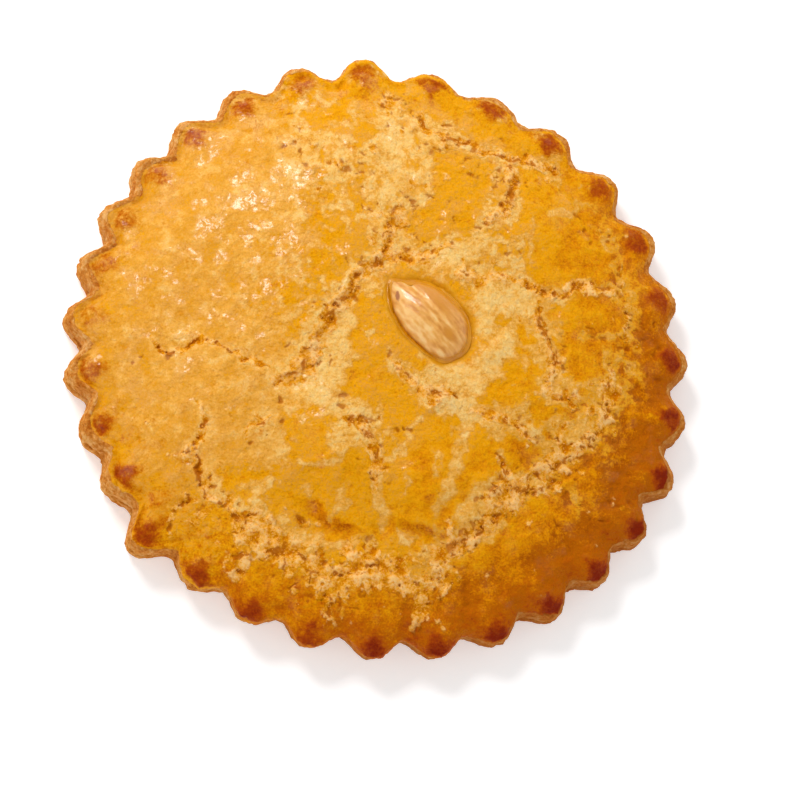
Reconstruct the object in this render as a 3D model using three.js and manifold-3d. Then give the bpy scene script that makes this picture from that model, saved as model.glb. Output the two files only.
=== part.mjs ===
// A filled butter cookie: two sheets of fluted dough baked together over a filling that stays hidden,
// with a low cracked dome on top and one blanched almond baked into its crown.
// Millimetres, +Z up. The origin is under the middle of the flat base, and +Y is the far side.

import * as THREE from 'three';
import { mergeVertices } from 'three/addons/utils/BufferGeometryUtils.js';
import Module from 'manifold-3d';

const degrees = THREE.MathUtils.degToRad;
const { clamp, lerp, smoothstep } = THREE.MathUtils;

// ---- driving dimensions ----

// The outline, cut with a fluted cutter and drawn a little oval in the oven.
const flutes = {
  count: 30,
  pointsEach: 8,
  depth: 3.0,
  valleySharpness: 2.6,
  unevenDepth: 0.55,
  firstTip: degrees(16.7),
  // The dough crept, so the flutes are spaced wider on some sides than on others.
  creep: { size: degrees(3.6), towards: degrees(146) },
  squeeze: { size: degrees(3.2), towards: degrees(-69.5) },
};
// The flutes, counted from the first tip, that stand out (+) or hang back (-) of the others.
const oddFlutes = new Map([
  [1, 0.7],
  [2, 0.5],
  [4, -1.0],
  [5, -0.6],
  [6, 0.7],
  [7, 0.4],
  [13, 0.4],
  [15, -0.6],
  [16, -0.9],
  [17, 1.8],
  [18, -0.7],
  [19, -0.5],
  [26, 0.5],
  [27, 0.7],
]);
const outline = {
  radius: 56.55,
  bulge: { size: 0.95, towards: degrees(-74.5) },
  oval: { size: 1.5, towards: degrees(-26) },
  threeSided: { size: 0.4, towards: degrees(-37) },
};

// The wall from the base up, as [distance in from the widest outline, height].
// The bottom sheet bulges lowest, the seam between the sheets lies above it, then the top sheet leans in.
const wall = [
  [0.9, 0],
  [0.1, 0.9],
  [0, 2.7],
  [1.0, 3.9],
  [0.65, 4.8],
  [0.85, 6.6],
  [1.4, 8.0],
];
const lip = { inset: 2.3, height: 8.9, roundness: 0.7 };

const dome = { height: 20.6, fullness: 2.6, shoulderDip: 0.5, shoulderAt: 0.86, shoulderSpread: 0.07 };
const crown = { meshSize: 1.56, fluteFade: 0.17, rimRows: [0.975, 0.945] };

// Broad swells (+) and dents (-) of the dough, as [x, y, radius, height].
const swells = [
  [-14, -28, 7, -0.7],
  [6, -32.5, 8, -0.8],
  [-9, -21, 6, 0.5],
  [20, 0, 8, 0.4],
  [10, -11, 6, 0.4],
  [-20, 22, 14, 0.5],
  [27, 24, 10, 0.3],
  [-30, -12, 10, -0.3],
];
const ripple = { waves: 7, shortest: 13, longest: 30, height: 0.16 };

// The cracks that opened as the dome rose: the way each one runs over the dome, its width and its depth.
const cracks = [
  { width: 3.0, depth: 1.5, way: [[2, 22.5], [-1, 16.5], [-6.5, 8], [-11, 3], [-14, -1.5], [-19.5, -7.5]] },
  { width: 2.0, depth: 1.0, way: [[-3.5, 12.5], [-6, 10], [-11, 5.5]] },
  { width: 2.2, depth: 1.0, way: [[-45, -3], [-38.5, -2], [-35, 0.5], [-31, 0], [-23.5, -4.5], [-19.5, -7.5]] },
  { width: 2.8, depth: 1.2, way: [[-32.5, -10.5], [-32, -15], [-33.5, -19], [-32.5, -24], [-26, -31.5], [-17, -37]] },
  { width: 4.4, depth: 1.4, way: [[-17, -37], [-13.5, -40], [-6, -42], [0, -40.5], [6, -43.5]] },
  { width: 4.2, depth: 1.2, way: [[42, -4.5], [41.5, -10.5], [39, -15], [31, -22], [25, -26.5]] },
  { width: 4.0, depth: 1.4, way: [[25, -26.5], [20, -30.5], [12.5, -37], [10.5, -41], [6.5, -44], [6.5, -50]] },
  { width: 2.4, depth: 0.9, way: [[31, -22.5], [25, -27], [19.5, -25.5]] },
  { width: 2.2, depth: 0.9, way: [[8, 43.5], [10, 39], [17.5, 38.5], [28, 35]] },
  { width: 2.6, depth: 0.8, way: [[23, 36], [23.5, 30], [18, 20], [18, 12]] },
  { width: 2.0, depth: 0.8, way: [[2, 16.5], [8, 15.5], [13, 18.5]] },
  { width: 2.2, depth: 0.9, way: [[13, 12.5], [24, 12], [32, 9.5], [35.5, 12], [42, 12.5]] },
  { width: 2.4, depth: 0.9, way: [[28, 10.5], [31, 1.5], [29.5, -5.5], [33, -9.5]] },
  { width: 2.8, depth: 0.7, way: [[-7.5, -10], [-2, -17.5], [-1.5, -23], [-0.5, -29]] },
  { width: 2.2, depth: 0.8, way: [[1, -6], [13, -9.5], [20, -13], [29, -17.5]] },
];
const crackWander = { step: 2.0, sideways: 0.8, taper: 0.25 };
const crumble = { reach: 1.6, height: 0.45 };

// The almond lies on its flat side, point to the far left, sunk to its middle in the glazed dent.
const almond = {
  centre: new THREE.Vector2(8.3, 4.7),
  pointTowards: degrees(131.5),
  halfLength: 9.3,
  halfWidth: 5.3,
  halfThickness: 3.4,
  taper: 0.2,
  pointAside: 0.9,
  rise: -0.8,
  tipLift: 0.04,
  creaseDepth: 0.45,
  detail: 5,
};
const seat = { gap: 0.3, rim: 1.22, dip: 0.9, dipSpread: 0.16, leastEdge: 0.03 };

// ---- small helpers ----

// The same uneven number between 0 and 1 every time, for a given whole number.
function chance(n) {
  const turned = Math.sin(n * 12.9898 + 78.233) * 43758.5453;
  return turned - Math.floor(turned);
}

const swing = (angle, fold, { size, towards }) => size * Math.cos(fold * (angle - towards));

// ---- outline ----

// The direction of a place on the rim, counted in flutes from the first tip.
function directionOf(place) {
  const even = flutes.firstTip + (place / flutes.count) * 2 * Math.PI;
  return even + swing(even, 1, flutes.creep) + swing(even, 2, flutes.squeeze);
}

function tipRadius(direction) {
  return (
    outline.radius +
    swing(direction, 1, outline.bulge) +
    swing(direction, 2, outline.oval) +
    swing(direction, 3, outline.threeSided)
  );
}

// How far the outline lies inside its tips at a place on the rim: nothing at a tip, most in a valley.
function fluteInset(place) {
  const flute = Math.floor(place + 0.5) % flutes.count;
  const valley = Math.abs(Math.sin(Math.PI * place)) ** flutes.valleySharpness;
  const depth = flutes.depth + flutes.unevenDepth * (chance(Math.floor(place) % flutes.count) - 0.5);
  return lerp(-(oddFlutes.get(flute) ?? 0), depth, valley);
}

// ---- top surface ----

const lipRadius = (direction) => tipRadius(direction) - lip.inset;

function cleanDome(x, y) {
  const t = Math.hypot(x, y) / lipRadius(Math.atan2(y, x));
  const shoulder = dome.shoulderDip * Math.exp(-(((t - dome.shoulderAt) / dome.shoulderSpread) ** 2));
  return lip.height + (dome.height - lip.height) * (1 - t ** dome.fullness) - shoulder;
}

function unevenness(x, y) {
  let lift = 0;
  for (const [cx, cy, radius, height] of swells) {
    lift += height * Math.exp(-((x - cx) ** 2 + (y - cy) ** 2) / radius ** 2);
  }
  for (let wave = 0; wave < ripple.waves; wave++) {
    const heading = chance(wave + 100) * 2 * Math.PI;
    const length = lerp(ripple.shortest, ripple.longest, chance(wave + 120));
    const along = x * Math.cos(heading) + y * Math.sin(heading);
    lift += ripple.height * Math.sin((2 * Math.PI * along) / length + 2 * Math.PI * chance(wave + 140));
  }
  return lift;
}

// Each crack as a row of points that wanders to either side of its way.
const crackLines = cracks.map(({ way, width, depth }, number) => {
  const curve = new THREE.SplineCurve(way.map(([x, y]) => new THREE.Vector2(x, y)));
  const steps = Math.ceil(curve.getLength() / crackWander.step);
  const points = curve.getSpacedPoints(steps).map((point, i) => {
    const across = curve.getTangentAt(i / steps).rotateAround(new THREE.Vector2(), Math.PI / 2);
    const sideways = 2 * crackWander.sideways * (chance(number * 40 + i + 200) - 0.5);
    return point.addScaledVector(across, sideways);
  });
  return { points, width, depth };
});

// The nearest crack to a point: its nearest place, the distance and how open the crack is there.
function nearestCrack(point) {
  let nearest = { distance: Infinity };
  for (const { points, width, depth } of crackLines) {
    for (let i = 1; i < points.length; i++) {
      const along = points[i].clone().sub(points[i - 1]);
      const share = clamp(point.clone().sub(points[i - 1]).dot(along) / along.lengthSq(), 0, 1);
      const place = points[i - 1].clone().addScaledVector(along, share);
      const distance = place.distanceTo(point);
      if (distance < nearest.distance) {
        const run = (i - 1 + share) / (points.length - 1);
        const open = smoothstep(Math.min(run, 1 - run), -0.05, crackWander.taper);
        nearest = { distance, place, halfWidth: (width / 2) * open, depth: depth * open };
      }
    }
  }
  return nearest;
}

// Mesh points close to a crack are drawn onto it, so that its floor is one unbroken line.
function drawnToCrack(point) {
  const onLine = 0.42 * crown.meshSize;
  const untouched = 1.5 * crown.meshSize;
  const kept = 0.2;
  const { place, distance } = nearestCrack(point);
  if (distance >= untouched) return point;
  const drawn =
    distance < onLine
      ? kept * distance
      : lerp(kept * onLine, untouched, (distance - onLine) / (untouched - onLine));
  return place.clone().addScaledVector(point.clone().sub(place), drawn / Math.max(distance, 1e-6));
}

// The depth of a crack under a point, with crumbs standing and missing along both its lips.
function crackDepth(point) {
  const { distance, halfWidth, depth } = nearestCrack(point);
  const across = distance / Math.max(halfWidth, 0.3);
  const crumbs = chance(Math.round(point.x * 7) + 131 * Math.round(point.y * 7)) - 0.5;
  const nearLip = Math.max(0, 1 - Math.abs(across - 0.8) / crumble.reach) * Math.min(depth, 1);
  return depth * Math.max(0, 1 - across) - crumble.height * crumbs * nearLip;
}

// ---- almond ----

// A point of the plan in the almond's own directions: x from its blunt end to its point, y across.
function inAlmond(x, y) {
  return new THREE.Vector2(x, y).sub(almond.centre).rotateAround(new THREE.Vector2(), -almond.pointTowards);
}

// The almond's breadth along its length, from 0 at the point to 1 at its widest.
function almondTaper(along) {
  const widest = almond.taper / (1 + almond.taper);
  const shape = (s) => ((1 - s) / 2) ** almond.taper;
  return shape(clamp(along, -1, 1)) / (shape(-widest) * Math.sqrt(1 - widest ** 2));
}

// How far the almond's middle line leans aside on its way to the point.
const pointLean = (along) => almond.pointAside * smoothstep(along, 0.2, 1);

// 1 on the almond's outline, less inside it and more outside.
function almondReach(x, y) {
  const local = inAlmond(x, y);
  const along = local.x / almond.halfLength;
  const across = local.y - pointLean(along);
  return Math.hypot(along, across / (almond.halfWidth * Math.max(almondTaper(along), 0.35)));
}

const almondHeight = cleanDome(almond.centre.x, almond.centre.y) + almond.rise;

// A closed almond, its point sharp and a crease along its upper side, swollen all round by a margin.
function almondGeometry(margin) {
  const geometry = new THREE.IcosahedronGeometry(1, almond.detail);
  geometry.deleteAttribute('normal');
  geometry.deleteAttribute('uv');
  const position = geometry.getAttribute('position');
  for (let i = 0; i < position.count; i++) {
    const unit = new THREE.Vector3().fromBufferAttribute(position, i);
    const taper = almondTaper(unit.x);
    const across = unit.y * taper;
    const crease =
      Math.exp(-(((across - 0.25 + 0.3 * unit.x) / 0.16) ** 2)) * smoothstep(unit.z, 0.2, 0.8) * (1 - margin);
    position.setXYZ(
      i,
      unit.x * (almond.halfLength + margin),
      unit.y * (almond.halfWidth * taper + margin) + pointLean(unit.x),
      unit.z * (almond.halfThickness * taper + margin) -
        almond.creaseDepth * Math.max(crease, 0) +
        almond.tipLift * unit.x * almond.halfLength,
    );
  }
  return geometry;
}

// ---- pastry ----

function topHeight(point) {
  const { x, y } = point;
  const reach = almondReach(x, y);
  const dent = seat.dip * Math.exp(-((Math.max(reach - 1, 0) / seat.dipSpread) ** 2));
  const awayFromAlmond = smoothstep(reach, 1, seat.rim + 0.6);
  const fromLip = lipRadius(Math.atan2(y, x)) - point.length();
  return cleanDome(x, y) + unevenness(x, y) * smoothstep(fromLip, 0, 6) - dent - crackDepth(point) * awayFromAlmond;
}

// A ring of the mesh: as many places as it has points, evenly spread over the flutes.
function ring(count, placeAt) {
  return Array.from({ length: count }, (_, i) => {
    const place = (i / count) * flutes.count;
    return { place, point: placeAt(place, directionOf(place)) };
  });
}

const around = (direction, radius, height) =>
  new THREE.Vector3(radius * Math.cos(direction), radius * Math.sin(direction), height);

function wallRing([inset, height]) {
  return ring(flutes.count * flutes.pointsEach, (place, direction) =>
    around(direction, tipRadius(direction) - fluteInset(place) - inset, height),
  );
}

function topRing(count, share) {
  const fluted = smoothstep(share, 1 - crown.fluteFade, 1);
  return ring(count, (place, direction) => {
    const inset = fluteInset(place) * fluted;
    const flat = around(direction, lipRadius(direction) * share - inset, 0);
    const onRim = share > crown.rimRows.at(-1);
    const plan = onRim ? new THREE.Vector2(flat.x, flat.y) : drawnToCrack(new THREE.Vector2(flat.x, flat.y));
    const height = topHeight(plan) - (lip.roundness * inset) / flutes.depth;
    return new THREE.Vector3(plan.x, plan.y, height);
  });
}

// Rings from the middle of the base, out, up the wall and in over the dome to its crown.
function pastryRings() {
  const rim = flutes.count * flutes.pointsEach;
  const base = ring(flutes.count * 2, (_, direction) => around(direction, tipRadius(direction) * 0.6, 0));
  const rings = [base, ...wall.map(wallRing), ...[1, ...crown.rimRows].map((share) => topRing(rim, share))];
  const lastRim = crown.rimRows.at(-1);
  const steps = Math.round((lastRim * outline.radius) / crown.meshSize);
  for (let step = steps - 1; step > 0; step--) {
    const share = (lastRim * step) / steps;
    const count = Math.max(6, Math.round((2 * Math.PI * share * outline.radius) / crown.meshSize));
    rings.push(topRing(count, share));
  }
  return rings;
}

// A closed skin over the rings, with a point in the middle of the base and one on the crown.
function pastryGeometry() {
  const rings = pastryRings();
  const positions = [];
  const triangles = [];
  const add = (point) => positions.push(point.x, point.y, point.z) / 3 - 1;
  const indexed = rings.map((row) => row.map(({ place, point }) => ({ place, index: add(point) })));
  const baseMiddle = add(new THREE.Vector3(0, 0, 0));
  const crownMiddle = add(new THREE.Vector3(0, 0, topHeight(new THREE.Vector2())));
  const wrap = (row, i) => row[i % row.length].index;
  const placeOf = (row, i) => row[i % row.length].place + (i >= row.length ? flutes.count : 0);

  for (let r = 1; r < indexed.length; r++) {
    const [lower, upper] = [indexed[r - 1], indexed[r]];
    let [i, j] = [0, 0];
    while (i < lower.length || j < upper.length) {
      const lowerNext = j >= upper.length || (i < lower.length && placeOf(lower, i + 1) < placeOf(upper, j + 1));
      if (lowerNext) triangles.push(wrap(lower, i), wrap(lower, ++i), wrap(upper, j));
      else triangles.push(wrap(lower, i), wrap(upper, j + 1), wrap(upper, j++));
    }
  }
  const [first, last] = [indexed[0], indexed.at(-1)];
  first.forEach((_, i) => triangles.push(baseMiddle, wrap(first, i + 1), wrap(first, i)));
  last.forEach((_, i) => triangles.push(crownMiddle, wrap(last, i), wrap(last, i + 1)));

  const geometry = new THREE.BufferGeometry();
  geometry.setAttribute('position', new THREE.Float32BufferAttribute(positions, 3));
  geometry.setIndex(triangles);
  return geometry;
}

// ---- putting it together ----

const wasm = await Module();
wasm.setup();

function solidOf(geometry) {
  const merged = mergeVertices(geometry, 1e-3);
  return new wasm.Manifold(
    new wasm.Mesh({
      numProp: 3,
      vertProperties: merged.getAttribute('position').array,
      triVerts: new Uint32Array(merged.index.array),
    }),
  );
}

function geometryOf(solid) {
  const mesh = solid.getMesh();
  const geometry = new THREE.BufferGeometry();
  geometry.setAttribute('position', new THREE.BufferAttribute(mesh.vertProperties, 3));
  geometry.setIndex(new THREE.BufferAttribute(mesh.triVerts, 1));
  return geometry;
}

function placedInCrown(geometry) {
  geometry.rotateZ(almond.pointTowards);
  return geometry.translate(almond.centre.x, almond.centre.y, almondHeight);
}

const almondSeat = solidOf(placedInCrown(almondGeometry(seat.gap)));
const pastryShape = geometryOf(solidOf(pastryGeometry()).subtract(almondSeat).simplify(seat.leastEdge));
pastryShape.computeBoundingBox();
const middle = pastryShape.boundingBox.getCenter(new THREE.Vector3());

const crust = new THREE.MeshStandardMaterial({ color: 0xdc9a34, roughness: 0.5, metalness: 0 });
const blanchedAlmond = new THREE.MeshStandardMaterial({ color: 0xe6b878, roughness: 0.35, metalness: 0 });

const pastry = new THREE.Mesh(pastryShape, crust);
pastry.name = 'pastry';
const nut = new THREE.Mesh(placedInCrown(almondGeometry(0)), blanchedAlmond);
nut.name = 'almond';

const cookie = new THREE.Group();
cookie.add(pastry, nut);
cookie.position.set(-middle.x, -middle.y, 0);

export default cookie;
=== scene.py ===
import math

import bmesh
import bpy
import numpy as np
from mathutils import Matrix, Vector
from mathutils.bvhtree import BVHTree


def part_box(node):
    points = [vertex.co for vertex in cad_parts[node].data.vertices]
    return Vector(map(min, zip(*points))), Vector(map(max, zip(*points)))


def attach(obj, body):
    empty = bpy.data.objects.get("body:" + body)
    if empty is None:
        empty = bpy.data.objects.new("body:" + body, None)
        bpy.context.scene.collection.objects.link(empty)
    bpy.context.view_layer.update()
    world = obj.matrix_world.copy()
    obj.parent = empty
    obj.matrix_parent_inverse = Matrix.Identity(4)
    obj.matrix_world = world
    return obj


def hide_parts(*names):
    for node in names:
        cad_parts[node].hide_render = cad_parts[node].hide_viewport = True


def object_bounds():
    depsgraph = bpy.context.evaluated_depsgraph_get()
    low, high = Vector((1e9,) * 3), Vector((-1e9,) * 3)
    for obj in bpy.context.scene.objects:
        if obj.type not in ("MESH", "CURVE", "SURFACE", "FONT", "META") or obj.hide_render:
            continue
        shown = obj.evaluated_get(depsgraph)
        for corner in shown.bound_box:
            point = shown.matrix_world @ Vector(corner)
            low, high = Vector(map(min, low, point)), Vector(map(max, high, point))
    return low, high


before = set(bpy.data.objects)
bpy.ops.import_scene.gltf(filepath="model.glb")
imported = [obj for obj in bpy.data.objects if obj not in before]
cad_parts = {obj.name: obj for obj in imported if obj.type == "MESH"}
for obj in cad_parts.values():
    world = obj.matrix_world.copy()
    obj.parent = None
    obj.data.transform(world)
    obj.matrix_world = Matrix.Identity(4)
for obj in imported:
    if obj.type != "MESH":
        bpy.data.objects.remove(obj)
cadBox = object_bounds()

# Shapes are worked out in millimetres and brought to metres when a piece is finished.
# +Z is up from the flat base and +Y is the far side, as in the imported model.
metresPerMm = 0.001
radians = math.radians


# The same uneven number between 0 and 1 every time, for a whole number.
def chance(n):
    turned = np.sin(np.asarray(n, float) * 12.9898 + 78.233) * 43758.5453
    return turned - np.floor(turned)


def smooth(value, low, high):
    t = np.clip((value - low) / (high - low), 0, 1)
    return t * t * (3 - 2 * t)


# 1 at a place and falling away to both sides of it.
def hump(value, place, half):
    return np.exp(-(((value - place) / half) ** 2))


# Rolling noise from about -1 to 1, with lumps of the given size in mm.
def lumps(x, y, size, seed):
    slopes = np.random.default_rng(seed).random((256, 256)) * 2 * math.pi
    u, v = x / size, y / size
    iu, iv = np.floor(u).astype(int), np.floor(v).astype(int)
    fu, fv = u - iu, v - iv
    easeU, easeV = (f**3 * (f * (f * 6 - 15) + 10) for f in (fu, fv))

    def corner(a, b):
        slope = slopes[(iu + a) % 256, (iv + b) % 256]
        return np.cos(slope) * (fu - a) + np.sin(slope) * (fv - b)

    near = corner(0, 0) * (1 - easeU) + corner(1, 0) * easeU
    far = corner(0, 1) * (1 - easeU) + corner(1, 1) * easeU
    return 1.5 * (near * (1 - easeV) + far * easeV)


def layers(x, y, size, seed, count=3):
    return sum(0.5**n * lumps(x, y, size * 0.5**n, seed + n) for n in range(count))


# Places pushed aside by waves of noise, each given as (height, size) in mm.
def bent(x, y, waves, seed):
    bentX, bentY = x, y
    for number, (tall, size) in enumerate(waves):
        bentX = bentX + tall * lumps(x, y, size, seed + number)
        bentY = bentY + tall * lumps(x, y, size, seed + len(waves) + number)
    return bentX, bentY


# Grains strewn one to a cell: how far the nearest is, in cells, how much farther the next one is, and the
# nearest one's own chance.
def grains(x, y, size, seed):
    cells = np.random.default_rng(seed).random((256, 256, 3))
    u, v = x / size, y / size
    iu, iv = np.floor(u).astype(int), np.floor(v).astype(int)
    nearest = np.full(u.shape, 9.0)
    second = np.full(u.shape, 9.0)
    own = np.zeros(u.shape)
    for a in (-1, 0, 1):
        for b in (-1, 0, 1):
            cell = cells[(iu + a) % 256, (iv + b) % 256]
            away = np.hypot(iu + a + cell[..., 0] - u, iv + b + cell[..., 1] - v)
            closer = away < nearest
            second = np.where(closer, nearest, np.minimum(second, away))
            own = np.where(closer, cell[..., 2], own)
            nearest = np.where(closer, away, nearest)
    return nearest, second - nearest, own


def plug(tree, value, socket):
    if isinstance(value, Wire):
        tree.links.new(value.socket, socket)
    elif isinstance(value, bpy.types.NodeSocket):
        tree.links.new(value, socket)
    else:
        socket.default_value = value


# An output in a node tree that can be reckoned with: adding two of them adds a Math node.
class Wire:
    def __init__(self, tree, socket):
        self.tree, self.socket = tree, socket

    def math(self, operation, *others):
        node = self.tree.nodes.new("ShaderNodeMath")
        node.operation = operation
        for value, socket in zip((self, *others), node.inputs):
            plug(self.tree, value, socket)
        return Wire(self.tree, node.outputs[0])

    def __add__(self, other):
        return self.math("ADD", other)

    def __mul__(self, other):
        return self.math("MULTIPLY", other)

    def __sub__(self, other):
        return self.math("SUBTRACT", other)

    def __rsub__(self, other):
        return self * -1 + other

    def __truediv__(self, other):
        return self.math("DIVIDE", other)

    def __pow__(self, other):
        return self.math("POWER", other)

    # 0 below low, 1 above high and a smooth step between.
    def step(self, low, high):
        made = {"Value": self, "From Min": low, "From Max": high}
        node = addNode(self.tree, "ShaderNodeMapRange", made, interpolation_type="SMOOTHSTEP")
        return Wire(self.tree, node.outputs["Result"])


def addNode(tree, kind, inputs=None, **settings):
    node = tree.nodes.new(kind)
    for name, value in settings.items():
        setattr(node, name, value)
    for name, value in (inputs or {}).items():
        plug(tree, value, node.inputs[name])
    return node


def meshFrom(name, points, faces, attributes=None):
    mesh = bpy.data.meshes.new(name)
    mesh.from_pydata([tuple(p) for p in points], [], faces)
    for label, values in (attributes or {}).items():
        mesh.attributes.new(label, "FLOAT", "POINT").data.foreach_set("value", np.asarray(values, np.float32))
    mesh.update()
    piece = bpy.data.objects.new(name, mesh)
    bpy.context.scene.collection.objects.link(piece)
    return piece


def pointsOf(piece):
    flat = np.zeros(len(piece.data.vertices) * 3, np.float32)
    piece.data.vertices.foreach_get("co", flat)
    return flat.reshape(-1, 3).astype(float)


def movePoints(piece, points):
    piece.data.vertices.foreach_set("co", np.asarray(points, np.float32).ravel())
    piece.data.update()


def readValues(piece, label):
    values = np.zeros(len(piece.data.vertices), np.float32)
    piece.data.attributes[label].data.foreach_get("value", values)
    return values.astype(float)


def writeValues(piece, label, values):
    attributes = piece.data.attributes
    layer = attributes.get(label) or attributes.new(label, "FLOAT", "POINT")
    layer.data.foreach_set("value", np.asarray(values, np.float32))


# Adds a Geometry Nodes tree to a piece, with its inputs set, and keeps only the plain mesh that comes out.
def runTree(piece, tree, inputs):
    modifier = piece.modifiers.new(tree.name, "NODES")
    modifier.node_group = tree
    identifiers = {item.name: item.identifier for item in tree.interface.items_tree if item.in_out == "INPUT"}
    for label, value in inputs.items():
        modifier[identifiers[label]] = value
    graph = bpy.context.evaluated_depsgraph_get()
    shaped = bpy.data.meshes.new_from_object(
        piece.evaluated_get(graph), preserve_all_data_layers=True, depsgraph=graph
    )
    piece.modifiers.remove(modifier)
    shaped.name = piece.name
    piece.data = shaped
    return piece


# An empty tree whose inputs are named after the sizes they carry, with its start and end nodes.
def newTree(name, sizes):
    tree = bpy.data.node_groups.new(name, "GeometryNodeTree")
    tree.interface.new_socket("Geometry", in_out="OUTPUT", socket_type="NodeSocketGeometry")
    tree.interface.new_socket("Geometry", in_out="INPUT", socket_type="NodeSocketGeometry")
    kinds = {int: "NodeSocketInt", float: "NodeSocketFloat", bpy.types.Object: "NodeSocketObject"}
    for label, value in sizes.items():
        kind = next(socket for made, socket in kinds.items() if isinstance(value, made))
        tree.interface.new_socket(label, in_out="INPUT", socket_type=kind)
    start = tree.nodes.new("NodeGroupInput")
    end = tree.nodes.new("NodeGroupOutput")
    sockets = {label: Wire(tree, start.outputs[label]) for label in sizes}
    return tree, start.outputs["Geometry"], sockets, end


def named(tree, label):
    node = addNode(tree, "GeometryNodeInputNamedAttribute", {"Name": label}, data_type="FLOAT")
    return Wire(tree, node.outputs["Attribute"])


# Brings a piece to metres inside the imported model's box, faces it and hands it over.
def finishPiece(piece, finish, node):
    points = pointsOf(piece) * metresPerMm
    low, high = (np.array(corner) for corner in cadBox)
    movePoints(piece, np.clip(points, low, high))
    piece.data.materials.clear()
    piece.data.materials.append(finish)
    piece.data.shade_smooth()
    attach(piece, "root")
    if node:
        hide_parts(node)
    print(piece.name, len(piece.data.polygons), "faces")
    return piece

# The fluted outline, as the cutter and the oven left it.
cutter = {
    "Flutes": 30,
    "Flute Depth": 3.0,
    "Valley Sharpness": 2.6,
    "First Tip": radians(16.7),
    "Creep": radians(3.6),
    "Creep Towards": radians(146),
    "Squeeze": radians(3.2),
    "Squeeze Towards": radians(-69.5),
    "Rim Radius": 56.55,
    "Bulge": 0.95,
    "Bulge Towards": radians(-74.5),
    "Oval": 1.5,
    "Oval Towards": radians(-26),
    "Three Sided": 0.4,
    "Three Sided Towards": radians(-37),
    "Flute Fade": 0.17,
    "Lip Inset": 1.5,
    "Lip Height": 8.9,
    "Lobe Roundness": 0.7,
    "Dome Height": 20.6,
    "Dome Fullness": 2.6,
    "Shoulder Dip": 0.5,
    "Shoulder At": 0.86,
    "Shoulder Spread": 0.07,
}
unevenDepth = 0.55
# Flutes, counted from the first tip, that stand out (+) or hang back (-) of the others, in mm.
oddFlutes = {1: 0.7, 2: 0.5, 4: -1.0, 5: -0.6, 6: 0.7, 7: 0.4, 13: 0.4, 15: -0.6, 16: -0.9, 17: 1.8}
oddFlutes.update({18: -0.7, 19: -0.5, 26: 0.5, 27: 0.7})

# Edges of the sheets from the top down, as (distance in from the outline, height) in mm.
topEdge = [
    (1.5, 8.9), (1.1, 8.65), (0.78, 8.15), (0.52, 7.3), (0.35, 6.2), (0.35, 4.9), (0.65, 4.1), (1.9, 3.85),
]
bottomEdge = [(2.0, 3.78), (0.55, 3.6), (0.1, 3.0), (0.0, 2.0), (0.1, 0.9), (0.4, 0.25), (0.9, 0.0)]
blank = {"top spacing": 0.48, "edge spacing": 0.4, "around": 750}


# The tree that gives a round sheet of dough its fluted outline, its bent edge and its dome.
def fluteCutterTree():
    tree, geometry, size, end = newTree("fluteCutter", cutter)
    place, share, inset = named(tree, "place"), named(tree, "share"), named(tree, "inset")
    height, lift = named(tree, "height"), named(tree, "lift")
    depth, reach = named(tree, "ownDepth"), named(tree, "ownReach")

    def wave(angle, fold, label):
        return size[label] * ((angle - size[label + " Towards"]) * fold).math("COSINE")

    even = size["First Tip"] + place / size["Flutes"] * (2 * math.pi)
    direction = even + wave(even, 1, "Creep") + wave(even, 2, "Squeeze")
    tips = size["Rim Radius"] + wave(direction, 1, "Bulge") + wave(direction, 2, "Oval")
    tips = tips + wave(direction, 3, "Three Sided")

    valley = (place * math.pi).math("SINE").math("ABSOLUTE") ** size["Valley Sharpness"]
    fluted = share.step(1 - size["Flute Fade"], 1.0)
    cut = (depth * valley - reach * (1 - valley)) * fluted
    radius = (tips - inset) * share - cut

    t = (radius / (tips - size["Lip Inset"])).math("MINIMUM", 1.0).math("MAXIMUM", 0.0)
    shoulder = ((t - size["Shoulder At"]) / size["Shoulder Spread"]) ** 2
    rise = (size["Dome Height"] - size["Lip Height"]) * (1 - t ** size["Dome Fullness"])
    rise = rise - size["Shoulder Dip"] * (shoulder * -1).math("EXPONENT")
    rise = rise - size["Lobe Roundness"] * cut / size["Flute Depth"]

    across, away = radius * direction.math("COSINE"), radius * direction.math("SINE")
    spot = addNode(tree, "ShaderNodeCombineXYZ", {"X": across, "Y": away, "Z": height + rise * lift})
    moved = addNode(tree, "GeometryNodeSetPosition", {"Geometry": geometry, "Position": spot.outputs[0]})
    made = addNode(tree, "GeometryNodeRealizeInstances", {"Geometry": moved.outputs[0]})
    faced = addNode(tree, "GeometryNodeSetMaterial", {"Geometry": made.outputs[0], "Material": crust})
    tree.links.new(faced.outputs[0], end.inputs["Geometry"])
    return tree


# Points along a profile, evenly spaced on a smooth curve through its corners.
def evenly(corners, spacing):
    corners = np.array(corners, float)
    padded = np.vstack([2 * corners[0] - corners[1], corners, 2 * corners[-1] - corners[-2]])
    fine = []
    for a, b, c, d in zip(padded, padded[1:], padded[2:], padded[3:]):
        second, third = 2 * a - 5 * b + 4 * c - d, 3 * b - a - 3 * c + d
        for t in np.arange(0, 1, 0.05):
            fine.append(0.5 * (2 * b + (c - a) * t + second * t**2 + third * t**3))
    fine = np.array(fine + [corners[-1]])
    run = np.concatenate([[0], np.cumsum(np.hypot(*np.diff(fine, axis=0).T))])
    stops = np.linspace(0, run[-1], max(2, round(run[-1] / spacing) + 1))
    return np.column_stack([np.interp(stops, run, column) for column in fine.T])


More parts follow.
